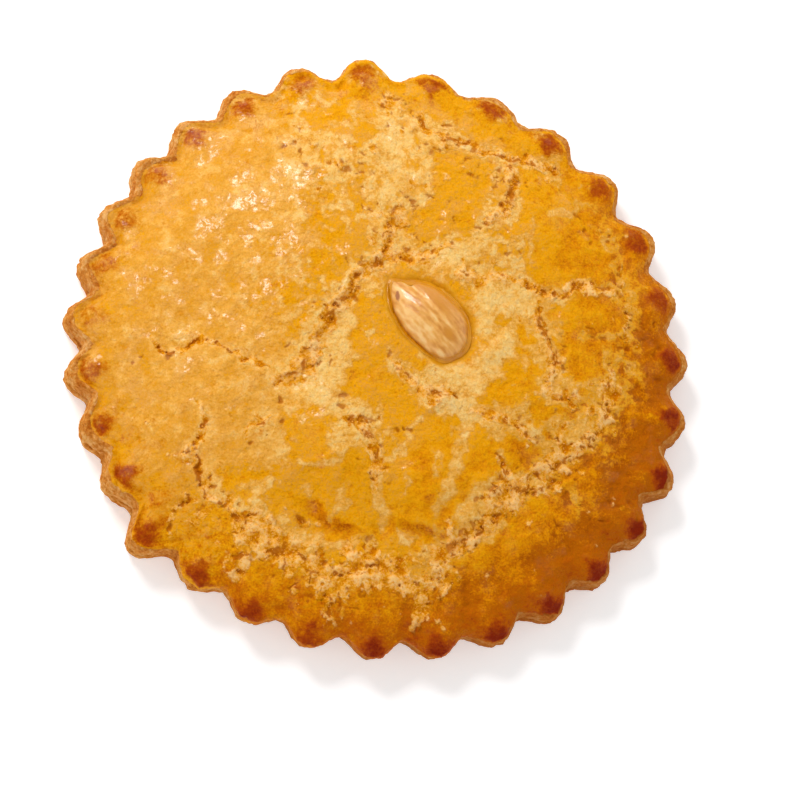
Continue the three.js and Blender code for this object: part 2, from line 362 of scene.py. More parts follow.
# A flat round sheet: rings of points joined by triangles. Each point knows its place round the outline, its
# share of the way to it and its run over the surface, which is 0 at the lip and grows outwards.
def roundBlank(name, rings):
    columns = {label: [] for label in ("place", "share", "inset", "height", "lift", "run")}
    faces, starts = [], []
    total = 0
    for ring in rings:
        starts.append(total)
        count = ring["count"]
        columns["place"].extend(np.arange(count) / count * cutter["Flutes"])
        for label in ("share", "inset", "height", "lift", "run"):
            columns[label].extend([ring[label]] * count)
        total += count
    for number in range(1, len(rings)):
        a, b = rings[number - 1]["count"], rings[number]["count"]
        atA, atB = starts[number - 1], starts[number]
        i = j = 0
        while i < a or j < b:
            if j >= b or (i < a and (i + 1) / a < (j + 1) / b):
                faces.append((atA + i % a, atA + (i + 1) % a, atB + j % b))
                i += 1
            else:
                faces.append((atA + i % a, atB + (j + 1) % b, atB + j % b))
                j += 1
    place = np.array(columns["place"])
    depth = cutter["Flute Depth"] + unevenDepth * (chance(np.floor(place)) - 0.5)
    odd = np.array([oddFlutes.get(n, 0) for n in range(cutter["Flutes"])])
    reach = odd[np.floor(place + 0.5).astype(int) % cutter["Flutes"]]
    angle = place / cutter["Flutes"] * 2 * math.pi
    share = np.array(columns["share"])
    flat = np.column_stack([share * np.cos(angle), share * np.sin(angle), np.zeros(total)])
    flat = flat * cutter["Rim Radius"]
    return meshFrom(name, flat, faces, {**columns, "ownDepth": depth, "ownReach": reach})


def edgeRings(corners, lifted):
    rings = []
    for number, (inset, height) in enumerate(evenly(corners, blank["edge spacing"])):
        lift = float(smooth(height, 6.6, 8.9)) if lifted else 0.0
        rings.append({"count": blank["around"], "share": 1.0, "inset": inset, "height": height})
        rings[-1].update({"lift": lift, "run": number * blank["edge spacing"]})
    return rings


# Rings that close a sheet over a flat disc, to three points in its middle.
def discRings(inset, height, shares, count):
    flat = {"inset": inset, "height": height, "lift": 0.0, "run": 20.0}
    rings = [{"count": max(12, round(count * share)), "share": share, **flat} for share in shares]
    return rings + [{"count": 3, "share": 0.002, **flat}]


def topBlank():
    reach = cutter["Rim Radius"] - cutter["Lip Inset"]
    steps = round(reach / blank["top spacing"])
    rings = []
    for step in range(steps):
        share = max(step / steps, 0.002)
        count = max(3, min(blank["around"], round(2 * math.pi * share * reach / blank["top spacing"])))
        if share > 0.9:
            count = blank["around"]
        rings.append({"count": count, "share": share, "inset": cutter["Lip Inset"]})
        rings[-1].update({"height": cutter["Lip Height"], "lift": 1.0, "run": (share - 1) * reach})
    rings += edgeRings(topEdge, True)
    inset, height = topEdge[-1]
    rings += discRings(inset, height, (0.9, 0.7, 0.4, 0.15), 360)
    return roundBlank("topDough", rings)


def bottomBlank():
    (upperInset, upperHeight), (lowerInset, lowerHeight) = bottomEdge[0], bottomEdge[-1]
    rings = discRings(upperInset, upperHeight, (0.9, 0.7, 0.4, 0.15), 360)[::-1]
    rings += edgeRings(bottomEdge, False)
    rings += discRings(lowerInset, lowerHeight, (0.97, 0.9, 0.75, 0.55, 0.35, 0.15), 480)
    return roundBlank("bottomDough", rings)

# Broad swells (+) and dents (-), as (x, y, radius, height) in mm.
swells = [
    (-14, -28, 7, -1.3), (6, -32.5, 8, -1.4), (-4, -33, 5, -0.6), (-9, -21, 6, 0.7), (20, 0, 8, 0.4),
    (10, -11, 6, 0.5), (8, -25, 5, 0.5), (-20, 22, 14, 0.5), (27, 24, 10, 0.3), (-30, -12, 10, -0.3),
    (-1, 14, 4, -0.6), (-13, -3, 4, -0.5), (31, -21, 6, -0.5), (12, -37, 6, -0.6), (-19, -36, 6, -0.5),
]
ripple = {"waves": 7, "shortest": 13, "longest": 30, "height": 0.16}

# Cracks in mm: how wide the bare crumb beside each is, how deep it sinks, how wide it gapes, how much higher
# the skin on its right hand stands than on its left, and the way it runs.
cracks = [
    (3.6, 0.7, 0.45, 0.6, [(3, 24), (1.5, 21), (0, 17), (-1.5, 14.3), (-5, 12), (-7, 9), (-9, 5.5),
        (-11.5, 1.5), (-13.5, -1), (-14.3, -4), (-16, -6.2), (-19.5, -8)]),
    (2.4, 0.9, 0.5, 0.25, [(-4.7, 11), (-5, 8.5), (-8, 6.5), (-11, 4.5)]),
    (1.4, 0.8, 0.6, 0.25, [(-42, 0.3), (-38.5, -2.2), (-34.5, -0.5), (-32, 0.2), (-27, -2.5), (-24, -3.8),
        (-20.5, -5)]),
    (1.8, 0.9, 0.6, 0.25, [(-33.2, -11), (-32, -14.8), (-33.8, -18.7), (-33.2, -22), (-32.8, -25),
        (-29.5, -28.5), (-26, -31.5)]),
    (8.0, 1.1, 0.7, 0.25, [(-26, -31.5), (-21.5, -35), (-18, -37.3), (-13.5, -40), (-8, -42), (0, -41),
        (6, -43)]),
    (3.6, 0.9, 0.5, 0.25, [(41.6, -4), (41.5, -8), (40.5, -13), (38, -17), (33, -20.5), (29, -22.5),
        (25, -25.8)]),
    (5.0, 1.1, 0.7, 0.25, [(25, -26), (20, -31), (14, -35.5), (11.5, -40), (8, -45), (6.5, -51)]),
    (2.6, 0.8, 0.5, 0.25, [(32, -25), (26, -26.3), (19.5, -26)]),
    (2.4, 0.8, 0.6, 0.25, [(7.3, 43.5), (8, 41), (12, 39), (16.5, 38), (19, 36.5), (24.5, 35.6),
        (32.5, 34.5)]),
    (2.6, 0.6, 0.5, 0.25, [(24, 35), (23.5, 28.5), (22.5, 25), (18.5, 22.5)]),
    (2.4, 0.8, 0.5, 0.25, [(1, 15.5), (7, 15.4), (9, 16.8), (12, 18.3)]),
    (2.6, 0.7, 0.45, 0.25, [(13, 12.6), (16, 12), (22, 12.5), (26, 11.3), (32, 9.2), (35.5, 11.4),
        (42, 11.6)]),
    (2.6, 0.7, 0.5, 0.25, [(28, 8.5), (28.8, 4), (30.3, 0), (31.3, -3), (29.8, -8), (34, -10.5)]),
    (2.6, 0.4, 0.4, 0.25, [(-6.5, -14), (-3, -17), (-1.5, -21), (-1.5, -26)]),
    (2.6, 0.6, 0.4, 0.25, [(1.5, -4.5), (7, -8.5), (13, -10)]),
    (1.6, 0.6, 0.4, 0.25, [(15.5, -12.7), (20, -13.3), (24, -14.8), (27.8, -17.8)]),
    (2.0, 0.6, 0.4, 0.25, [(20.5, -20.5), (22, -22.5), (21.5, -25)]),
    (0.5, 0.5, 0.35, 0.25, [(-45.6, -13.3), (-42.5, -14), (-41, -16.5)]),
    (0.5, 0.5, 0.35, 0.25, [(-38.5, -20.3), (-36, -20.6), (-33.8, -19)]),
    (1.4, 0.7, 0.5, 0.25, [(-33, -28), (-35.5, -28.8), (-37.5, -31.5), (-37.8, -34)]),
    (1.0, 0.5, 0.35, 0.25, [(-24.2, -18.5), (-24, -15.5), (-21, -14.2), (-18.5, -13.4)]),
    (1.8, 0.7, 0.5, 0.25, [(-24.6, -38), (-25.5, -41.5), (-29.5, -43.8)]),
    (1.8, 0.7, 0.5, 0.25, [(-10, -42.5), (-9.2, -47.5), (-7, -51)]),
    (1.4, 0.7, 0.5, 0.25, [(44.6, 8), (45.3, 4.5), (45, 2)]),
    (1.0, 0.7, 0.5, 0.25, [(43.9, 17), (44.2, 13.4), (44, 10.5)]),
]

# Single holes and crevices, as (x, y, half length, half width, heading in degrees) in mm.
holes = [
    (-44.8, -3.7, 0.5, 0.3, 20), (-43.3, -2.5, 0.5, 0.3, 60), (-38.6, -2.8, 0.7, 0.4, 60),
    (-33.8, -18.7, 0.6, 0.35, 80), (-32.9, -24.3, 1.0, 0.5, 70), (-30.3, -26.2, 0.8, 0.35, 10),
    (-37.8, -33, 0.9, 0.45, 80), (-28.4, -29.7, 0.6, 0.3, 20), (-26.2, -31.7, 1.1, 0.45, 130),
    (-19, -37.4, 1.4, 0.45, 10), (-14.4, -38.4, 1.3, 0.3, 125), (-10.2, -39.6, 0.4, 0.4, 0),
    (-25, -38.1, 0.5, 0.35, 40), (-14.6, -31.8, 1.2, 0.45, 150), (-24, -18.6, 0.6, 0.3, 10),
    (-18.3, -15, 0.8, 0.3, 60), (-18.6, -11, 0.7, 0.35, 110), (-7.6, -10.2, 1.3, 0.6, 10),
    (-7.9, -12.1, 0.9, 0.35, 0), (-5.7, -14.8, 0.8, 0.3, 120), (-9.3, -47.7, 0.6, 0.3, 20),
    (-12.9, -46, 0.25, 0.25, 0), (-29.3, -43.7, 0.7, 0.35, 30), (0.8, -2.4, 0.9, 0.35, 80),
    (9.2, -9.2, 1.1, 0.3, 160), (13, -10, 0.4, 0.25, 140), (28.3, 4.3, 0.9, 0.4, 100),
    (29.2, 2.3, 0.7, 0.4, 60), (31.2, -3.3, 0.8, 0.35, 80), (48.4, 2.6, 0.7, 0.35, 170),
    (47, 4.3, 0.5, 0.3, 0), (49, -4, 0.6, 0.35, 60), (51, -4.6, 0.5, 0.3, 20), (47, -6, 0.6, 0.3, 40),
    (37.3, -19.5, 0.9, 0.35, 30), (30.5, -25.2, 0.6, 0.3, 40), (25.6, -26.3, 0.9, 0.3, 20),
    (12.8, -36.3, 1.5, 0.7, 45), (12, -41.4, 0.6, 0.35, 30), (14.3, -34, 0.9, 0.4, 60),
    (45.5, -27.3, 0.7, 0.35, 160), (47, -30.5, 0.7, 0.3, 100), (7.6, 42.2, 1.0, 0.5, 100),
    (13, 39, 1.3, 0.5, 175), (3.2, 46.8, 0.9, 0.25, 20), (23.6, 28.3, 1.6, 0.6, 95),
    (-6.6, 32, 0.9, 0.6, 20), (1.7, 24.2, 0.9, 0.4, 60), (5.6, 25.3, 0.5, 0.4, 20),
    (7.1, 15.2, 0.4, 0.2, 10), (21.6, 12.9, 0.3, 0.25, 60), (-1.3, 14.2, 1.1, 0.4, 30),
    (-5, 12, 1.0, 0.4, 40), (-14.6, -4.4, 1.3, 0.35, 80), (-16.5, -6.3, 1.2, 0.35, 15),
    (-5.3, 7.6, 0.9, 0.4, 150), (-9.8, 4.8, 1.2, 0.35, 40), (24.9, 12.6, 0.5, 0.25, 30),
    (40.5, 11.6, 1.3, 0.3, 175), (44, 16, 0.6, 0.4, 80), (48.2, 4.8, 0.4, 0.3, 40), (27, 35, 0.3, 0.3, 0),
    (24, 35.6, 0.7, 0.25, 10), (32.6, 34.5, 0.3, 0.2, 0), (-18, 36.6, 0.7, 0.4, 20),
    (-15, 35.8, 0.5, 0.25, 100), (3, -52.3, 0.9, 0.5, 60), (6.2, -51.2, 0.8, 0.5, 100),
]

# More of them, as rows of small ones along a crack: (x, y) of each in mm.
pitRows = [
    (-6.2, -14.2), (-5.8, -14.8), (-4.2, -14), (-3.5, -14.5), (-2.6, -14.3), (-4, -16.5), (-3.2, -17.3),
    (-1.5, -20.5), (-2.4, -23.8), (-2, -25), (-0.6, -18.8), (2.4, -16.2), (3.6, -15.8), (4.6, -16.1),
    (20.8, -20.3), (21.6, -21.8), (20.9, -23.1), (22.4, -23.3), (21.2, -24.3), (20, -25.8), (19.8, -26.6),
    (18, -27.8), (26, -16.4), (27.6, -16.8), (28.2, -17.3), (23, -25.6), (24, -25.9), (26.5, -25.6),
    (28.6, -25.9), (31, -22), (32, -21.3), (35.2, -23.8), (35.5, -22.4), (33.8, -26.4), (34.2, -27.1),
    (36.2, -28.4), (38.5, -30.4), (40.1, -31), (37.5, -19), (38.2, -18), (38.4, -16.3), (39.2, -15.2),
    (41, -12.4), (41.4, -11), (43, -12), (43.3, -13.6), (42.6, -10), (41.2, -6.5), (20, -31.8),
    (18.2, -32), (15.2, -34), (15, -36), (14, -37.2), (17, -36.2), (31.7, -31.8), (31.5, -33.8),
    (2.4, 25.2), (1.8, 24.4), (8.6, 27), (5.3, 26.2), (0.4, 22.6), (0.9, 21.6), (-1.6, 20.3), (7.4, 18.4),
    (8.6, 18), (12.3, 18.4), (8.8, 16.8), (7.2, 43.4), (7.5, 41.3), (8.3, 37.6), (8.9, 36), (11.4, 38.6),
    (14.2, 38.3), (17, 37.2), (18.6, 36.6), (16.6, 36.9), (22.8, 36), (25.4, 35.5), (27.9, 35.1),
    (23.5, 33.8), (21.6, 33.1), (22.2, 31), (21, 31.6), (22.9, 29.2), (22.7, 28), (22.4, 26.8),
    (21.6, 26.2), (18.5, 22.3), (17.2, 21.4), (22.8, 17), (4, 40.9), (1, 40.8), (26.2, 11.4), (28, 10.2),
    (31.4, 9.6), (33.4, 9.3), (35.2, 11.8), (36.4, 12.1), (38.6, 12.2), (41.6, 11.6), (43.4, 12.6),
    (43.6, 11), (43.9, 14.4), (43.6, 17.4), (45.8, 7.2), (46, 6), (45.6, 4.8), (48, 5.6), (50.4, 5.6),
    (51.4, 1), (50.2, 0), (43.6, 0.6), (45.3, 0.6), (41.5, -2.6), (42, -3.6), (40.4, 2), (38.6, 2.2),
    (28.2, 7), (28.6, 5.2), (28.9, 3.6), (29.6, 2.6), (30.2, 1.2), (31, -1.8), (31.8, -3), (32.8, -3.8),
    (41, 22.6), (42.3, 22), (41.8, 21), (44.2, 24), (37.4, 22.6), (36, 25.4), (39.6, 24.6), (38.6, 20.2),
    (39.2, 19.4),
]
holeShape = {"deepest": 0.9, "waver": 0.35, "waver size": 1.0, "reach": 4}
pitShape = {"long": 0.52, "wide": 0.27, "depth": 0.36, "waver": 0.5, "waver size": 0.9, "reach": 2.5}

# Veins where the egg ran off and the dough is pale, as half a width and a way in mm.
veins = [
    (3.2, [(-13, -10.5), (-8, -11.5), (-5, -13)]), (2.3, [(-7, -14), (-8.5, -18.5)]),
    (1.5, [(-6, -16), (-2.6, -17)]),
    (1.0, [(-2, -18), (-1, -21), (-1.2, -24), (-1, -28), (0.5, -31), (0, -33)]),
    (0.9, [(-14.5, -22.5), (-10, -22.5)]), (0.9, [(-10, -22.5), (-7, -20.5), (-5, -18)]),
    (1.0, [(-7, -27), (-7, -29), (-9.5, -32)]),
    (1.0, [(6.5, -14.5), (4.5, -16.3), (3.8, -18.5), (2, -20.5), (0, -22)]),
    (1.6, [(7, -9.5), (9, -12.3), (12, -11)]), (2.6, [(9, -6), (14, -9)]),
    (1.4, [(15, -15), (14, -19), (13, -22), (12.5, -24)]), (0.5, [(9.4, -20), (9.5, -24)]),
    (1.5, [(12.5, -25.5), (11, -28), (9.5, -30)]), (0.45, [(4.2, -24), (4.3, -27.5)]),
    (1.2, [(3, -34.5), (5, -36)]), (1.2, [(-12, -35.5), (-8, -36.5), (-5, -36)]),
    (1.2, [(-3, -35.5), (-1, -37)]), (0.8, [(-14.5, -26), (-13, -27.5)]),
    (2.8, [(12, -11), (17, -13), (21, -14.5)]), (1.8, [(21, -14.5), (25, -15.5), (29, -17.5)]),
    (2.0, [(36, -15), (33, -19), (30, -22), (27, -24.5), (22, -25.5), (17, -28), (14, -31)]),
    (1.0, [(21, -19.5), (21.7, -22), (21, -24)]), (0.9, [(31, -25), (27, -26.5), (22, -27)]),
    (1.0, [(35, -26), (36, -28.5), (36, -31)]), (1.0, [(43, -9), (43, -14)]),
    (1.1, [(21, -30.5), (21, -33), (17.5, -36)]), (1.6, [(8, 43), (8, 38), (8, 33), (8, 28), (5, 25)]),
    (1.4, [(2, 42), (0, 35), (4, 30)]),
    (1.2, [(10, 39), (14, 38.5), (18, 37), (22, 36), (26, 35), (31, 34.5)]),
    (0.9, [(27, 16), (27, 19), (28, 24)]),
    (1.7, [(22, 36), (23, 32), (24, 28), (23.5, 25), (21, 23), (18, 22)]),
    (0.8, [(31, 25), (35, 26), (38, 27.5)]), (1.4, [(4, 26), (1.5, 23), (2, 19), (2, 15.5)]),
    (1.5, [(8, 15.8), (13, 16.8), (18, 19.5)]),
    (1.1, [(22, 12.2), (25, 12), (27, 10.8), (30, 9.5), (33, 9.5), (36, 11.5), (39, 12), (42, 11.5),
        (43.5, 11)]),
    (2.2, [(20, 9.5), (27, 9)]), (1.3, [(28, 8.5), (28.5, 5), (29, 3), (30.2, 0.5), (31, -3), (33, -4)]),
    (1.0, [(43.6, 22), (43.8, 18), (43.5, 14), (44.5, 10)]), (1.8, [(46.5, 14), (46.5, 7), (46, 3)]),
    (1.3, [(41.2, 24), (42, 20)]), (1.1, [(36, 28), (40, 27), (43.5, 25)]),
    (0.8, [(36, 2), (41, 2.5), (45, 4)]), (1.2, [(40.5, -0.5), (42, -4), (41.5, -8)]),
    (1.8, [(24, 6), (22, 0), (18, -4)]), (1.0, [(46, -2), (49, -4)]),
    (1.9, [(2.5, 23), (0, 17), (-5, 12), (-9, 5.5)]),
    (1.9, [(-9, 5.5), (-13.5, -1), (-16, -6.2), (-20, -8)]), (1.6, [(14, 5), (18, 2), (19, 8)]),
    (2.2, [(-9, 2), (-7, -4), (-11, -8)]), (1.6, [(-18, -8), (-22, -12), (-19, -17)]),
]

# Folds in the skin, as a way, the height of the step (- sinks) and half its width in mm.
folds = [
    {"height": -1.0, "half": 1.2, "way": [(-15, -27.8), (-12, -28.8), (-9.5, -31), (-6, -32.5), (-2, -34)]},
    {"height": -1.1, "half": 0.9, "way": [(1.5, -31.3), (5, -32), (9.5, -33.5), (13, -34)]},
    {"height": -0.8, "half": 1.1, "way": [(1.8, -31.5), (2.3, -33.8), (0.5, -36.5)]},
    {"height": -0.5, "half": 1.1, "way": [(6.5, -28.3), (9, -27.5), (12, -26)]},
    {"height": 0.45, "half": 1.0, "way": [(-16.3, -22.9), (-7.7, -20.5), (-5.7, -17.5)]},
    {"height": 0.4, "half": 1.0, "way": [(6.9, -13.4), (12.8, -9.3)]},
    {"height": 0.5, "half": 1.4, "way": [(16.8, -4.3), (23.9, 3)]},
    {"height": 0.35, "half": 1.2, "way": [(-17, 33), (-9, 32), (-6, 35)]},
]

# Where the egg lies thick and dark (+) or thin and pale (-), as (x, y, radius, amount).
egg = [
    (14, 31, 6, 0.7), (6, 24, 5, 0.5), (14, 22, 4, 0.5), (27, 29, 5, 0.6), (33, 20, 6, 0.6),
    (37, 27, 5, 0.5), (29, 15, 4, 0.4), (10, 47, 6, 0.6), (20, 42, 4, 0.5), (38, 14, 5, 0.5),
    (27, 38, 4, 0.4), (-3, 48, 6, 0.4), (38, 5, 6, 0.5), (36, -2, 5, 0.5), (45, 4, 5, 0.3),
    (-5.5, 18, 4, 0.5), (-9, 13, 4, 0.4), (-9, 27, 4, 0.2), (-3, -7, 3.5, 0.6), (4, -12, 4.5, 0.7),
    (8, -17, 4.5, 0.6), (-5, -8, 3, 0.5), (-12, -16, 4, 0.6), (-16, -17, 3, 0.5), (-6, -23, 5, 0.8),
    (-12, -24, 4, 0.6), (5, -24, 5, 0.7), (10, -21, 4, 0.5), (16, -22, 5, 0.8), (24, -18, 5, 0.7),
    (20, -17, 3, 0.5), (10, -28, 4, 0.6), (26, -8, 4, 0.4), (23, -11, 3, 0.3), (34, -12, 3, 0.3),
    (45, -15, 6, 0.4), (37, -23, 5, 0.5), (30, -33, 8, 0.5), (-1, -31, 6, 0.6), (-14, -28, 4, 0.7),
    (-8, -34, 5, 0.5), (22, -40, 9, 0.5), (-28, -18, 3, 0.4), (-26, -23, 4, 0.5), (-31, -35, 6, 0.8),
    (-36, -24, 4, 0.6), (-20, -43, 6, 0.6), (-13, -47, 5, 0.6), (-1, -46, 5, 0.6), (-18, -29, 3, 0.4),
    (-38, -27, 4, 0.3), (14, -44, 5, 0.4), (3, -38, 3, 0.4), (-7, -38, 3, 0.4), (44, -32, 6, 0.3),
    (18, 8, 5, -0.2), (9, 13, 5, -0.4), (-2, 10, 4, -0.4), (-7, 2, 5, -0.3), (21, -2, 5, -0.3),
    (17, -5, 4, -0.3), (9, -6, 4, -0.4), (13, -10, 3, -0.5), (-12, -6, 4, -0.4), (15, 17, 4, -0.4),
    (3, 36, 5, -0.4), (-14, -9, 5, -0.3), (-24, 24, 14, -0.2), (-12, 31, 7, -0.25), (22, 6, 5, -0.4),
    (24, -14, 3, -0.4), (14, -15, 3, -0.4), (-4, -14, 3, -0.4), (-30, -8, 8, -0.2), (-1, 27, 5, -0.3),
    # (-15, -28.5), (5, -31.5), (11, -33) and (-5, -32) lie in the folds' dents: egg pooled there, and they
    # also paint shade on the folds' far side.
    (24, 12, 4, -0.3), (-20, -20, 4, -0.3), (-15, -28.5, 2.2, 0.5), (5, -31.5, 2.2, 0.5),
    (11, -33, 2, 0.4), (-5, -32, 3, 0.4), (-2, 7, 4, 0.6), (3, 2, 3, 0.5), (19, 13, 3, 0.4),
    (24, 3, 3, 0.4), (16, -2, 2.5, 0.3), (19, 6, 2.5, 0.3), (-4, 0, 3, 0.4),
]

# Where the egg dried glossiest, as (x, y, radius, amount).
shine = [
    (-15, 31.5, 3, 1.3), (-24, 25.7, 3, 1.3), (-12.5, 25, 2.5, 1), (-33, 40, 2, 1), (-40, 33.4, 2, 1),
    (-25.7, 47, 2.5, 1), (10, -12, 2.5, 1.5), (3, -22, 1.5, 1.3), (-12, -12, 1.5, 1.3),
    (-11, -22.7, 1.5, 1.3), (14, -17.3, 1.5, 1.3),
]

oven = {
    "crumb sink": 0.02,
    "grain": 1.0,
    "grain height": 0.3,
    "fine grain": 0.45,
    "fine height": 0.1,
    "pit size": 0.95,
    "pit share": 0.14,
    "pit depth": 0.32,
    "clod": 2.3,
    "clod height": 0.6,
    "orange peel": [(4.5, 0.28), (1.8, 0.15), (0.9, 0.08)],
    "browning towards": radians(-42),
    "ridge towards": radians(160),
}


# The distance from points to a way through mm points, how far along it they are and on which side.
def fromWay(way, x, y):
    path = evenly(way, 0.8)
    away = np.full(x.shape, 1e9)
    run = np.zeros(x.shape)
    side = np.zeros(x.shape)
    for number, ((ax, ay), (bx, by)) in enumerate(zip(path, path[1:])):
        dx, dy = bx - ax, by - ay
        t = np.clip(((x - ax) * dx + (y - ay) * dy) / (dx * dx + dy * dy), 0, 1)
        here = np.hypot(x - ax - t * dx, y - ay - t * dy)
        closer = here < away
        away = np.where(closer, here, away)
        run = np.where(closer, (number + t) / (len(path) - 1), run)
        side = np.where(closer, (x - ax) * dy - (y - ay) * dx, side)
    return away, run, np.sign(side)


def around(x, y, spots):
    return sum(
        amount * np.exp(-((x - cx) ** 2 + (y - cy) ** 2) / radius**2) for cx, cy, radius, amount in spots
    )


def unevenness(x, y):
    lift = around(x, y, swells)
    for wave in range(ripple["waves"]):
        heading = chance(wave + 100) * 2 * math.pi
        length = ripple["shortest"] + (ripple["longest"] - ripple["shortest"]) * chance(wave + 120)
        along = x * np.cos(heading) + y * np.sin(heading)
        lift = lift + ripple["height"] * np.sin(2 * math.pi * (along / length + chance(wave + 140)))
    return lift


# Areas where the skin is broken up into patches of crumb, as (x, y, radius, amount).
rubble = [
    (32, -5, 5, 0.7), (29, 3, 4, 0.6), (41, -8, 4, 0.8), (37, -15, 6, 0.9), (33, -20, 5, 0.7),
    (27, -24, 5, 0.8), (20, -29, 5, 0.9), (13, -35, 5, 0.9), (10, -42, 5, 0.9), (8, -49, 4, 0.8),
    (-3, -42, 6, 0.9), (-9, -44, 5, 0.8), (-15, -38, 6, 0.9), (-21, -35, 5, 0.9), (-27, -31, 5, 0.8),
    (-31, -27, 4, 0.7), (-34, -20, 5, 0.6), (-36, -30, 4, 0.6), (-3, -17, 5, 0.7), (-1, -25, 4, 0.6),
    (7, -8, 5, 0.7), (2, 22, 6, 0.9), (-4, 13, 4, 0.9), (-9, 6, 4, 0.8), (9, 29, 4, 0.6), (8, 39, 6, 0.7),
    (16, 38, 5, 0.7), (23, 30, 5, 0.8), (-16, 38, 6, 0.7), (-6, 33, 6, 0.7), (0, 44, 4, 0.5),
    (17, 20, 4, 0.5), (40, 3, 4, 0.5), (45, 9, 3, 0.6), (46, -2, 4, 0.6), (-21, -15, 4, 0.6),
    (-14, -3, 4, 0.7), (25, -13, 4, 0.5), (3, 45, 4, 0.6), (30, 34, 4, 0.5), (17, 13, 5, 0.5),
    (36, -27, 4, 0.5), (-25, -40, 4, 0.5), (-8, 22, 4, 0.3), (25, 18, 4, 0.4), (44, -28, 3, 0.6),
    (-38, 0, 4, 0.4), (-8, -3, 4, 0.4),
]
craze = {"cell": 3.4, "line": 0.2, "depth": 0.28}


# A hole or pit opens the gap and sinks the surface in an oval whose edge wavers.
def openHole(x, y, gap, sink, place, oval, turn, depth, kind):
    near = np.hypot(x - place[0], y - place[1]) < kind["reach"]
    nearX, nearY = x[near], y[near]
    dx = nearX - place[0] + kind["waver"] * lumps(nearX, nearY, kind["waver size"], 19)
    dy = nearY - place[1] + kind["waver"] * lumps(nearX, nearY, kind["waver size"], 20)
    c, s = math.cos(turn), math.sin(turn)
    here = np.exp(-((((dx * c + dy * s) / oval[0]) ** 2 + ((dy * c - dx * s) / oval[1]) ** 2) ** 1.3))
    gap[near] = np.maximum(gap[near], here)
    sink[near] = np.maximum(sink[near], depth * here)


# Nearness to the cracks at points of the plan: bare crumb (1 in the middle, 0 at its edge, less than 0 off
# it), the gaping line and how far the surface sinks.
def crackFields(x, y):
    bentX, bentY = bent(x, y, [(0.8, 5.0), (0.6, 1.9), (0.3, 0.8)], 11)
    islands = 0.8 * lumps(x, y, 3.4, 17) + 0.6 * lumps(x, y, 1.5, 18)
    bare = around(x, y, rubble) + islands - 1.0
    gap, sink, lift = np.zeros(x.shape), np.zeros(x.shape), np.zeros(x.shape)
    for number, (crumb, depth, gape, step, course) in enumerate(cracks):
        way = np.array(course, float)
        margin = crumb * 1.5 + 3
        low, high = way.min(0) - margin, way.max(0) + margin
        inside = (x > low[0]) & (x < high[0]) & (y > low[1]) & (y < high[1])
        away, run, side = fromWay(course, bentX[inside], bentY[inside])
        length = np.hypot(*np.diff(way, axis=0).T).sum()
        along = run * length
        row = along * 0 + number * 7.3
        ends = smooth(np.minimum(run, 1 - run) * length, -1.0, 3.0)
        bank = row + 3 * side
        wide = 0.85 + 0.7 * lumps(along, bank, 4.0, 21) + 0.4 * lumps(along, bank, 1.5, 23)
        half = 0.5 * crumb * np.clip(wide, 0.15, 1.8) * (0.45 + 0.55 * ends)
        bare[inside] = np.maximum(bare[inside], 1 - away / half)
        fault = side * smooth(away, 0, 0.5) * np.exp(-np.maximum(away - half, 0) / 2.2) * ends
        lift[inside] += 0.5 * step * fault
        broken = smooth(lumps(along, row, 1.9, 22) + 0.5 * lumps(along, row, 0.8, 24), 0.0, 0.4)
        off = np.abs(side * away - 0.25 * crumb * lumps(along, row, 2.8, 29))
        line = hump(off, 0, 0.5 * gape * (0.35 + 0.75 * broken)) * ends * broken
        gap[inside] = np.maximum(gap[inside], line)
        trough = 0.2 * depth * ends * np.clip(1 - away / (1.4 * half), 0, 1)
        sink[inside] = np.maximum(sink[inside], trough + 0.33 * depth * line)
    for hx, hy, long, wide, heading in holes:
        depth = 0.5 * min(wide + 0.3, holeShape["deepest"])
        openHole(x, y, gap, sink, (hx, hy), (long, wide), radians(heading), depth, holeShape)
    for number, place in enumerate(pitRows):
        oval = [pitShape[side] * (0.7 + 0.7 * chance(number + 600)) for side in ("long", "wide")]
        openHole(x, y, gap, sink, place, oval, chance(number + 500) * math.pi, pitShape["depth"], pitShape)
    _, between, _ = grains(bentX, bentY, craze["cell"], 25)
    area = smooth(around(x, y, rubble) - 0.3 + 0.6 * lumps(x, y, 5, 26), 0.0, 0.4)
    net = hump(between * craze["cell"] / 2, 0, craze["line"]) * area * smooth(lumps(x, y, 1.7, 27), 0.0, 0.35)
    return bare, np.maximum(gap, 0.8 * net), np.maximum(sink, craze["depth"] * net) - lift


# The almond, in mm. Its outline goes round from its point, as (way from the point, way aside).
almond = {
    "point from box": (0.15, -0.4),
    "heading": radians(-48.5),
    "outline": [
        (-0.1, 0.2), (0.9, 1.25), (2.3, 2.15), (3.5, 3.85), (6.0, 5.35), (9.5, 6.05), (12.8, 5.95),
        (15.4, 5.0), (17.2, 3.2), (18.0, 0.7), (17.2, -1.9), (15.2, -3.2), (12.2, -3.9), (8.1, -4.1),
        (4.5, -3.3), (1.9, -1.9), (0.5, -0.7),
    ],
    "middle": (9.4, 1.0),
    "waist": 19.45,
    "thickness": 3.4,
    "around": 300,
    "rings": 44,
}
almondSeat = {"dip": 0.8, "spread": 1.6, "level": 19.75}
(almondLow, _, _), (_, almondFar, _) = (np.array(corner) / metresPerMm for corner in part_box("almond"))
almondPoint = (almondLow + almond["point from box"][0], almondFar + almond["point from box"][1])


# From a place in the plan to the way along the almond from its point and the way aside, and back.
def alongAlmond(x, y):
    dx, dy = x - almondPoint[0], y - almondPoint[1]
    c, s = math.cos(almond["heading"]), math.sin(almond["heading"])
    return dx * c + dy * s, dy * c - dx * s


def fromAlmond(way, aside):
    c, s = math.cos(almond["heading"]), math.sin(almond["heading"])
    return almondPoint[0] + way * c - aside * s, almondPoint[1] + way * s + aside * c


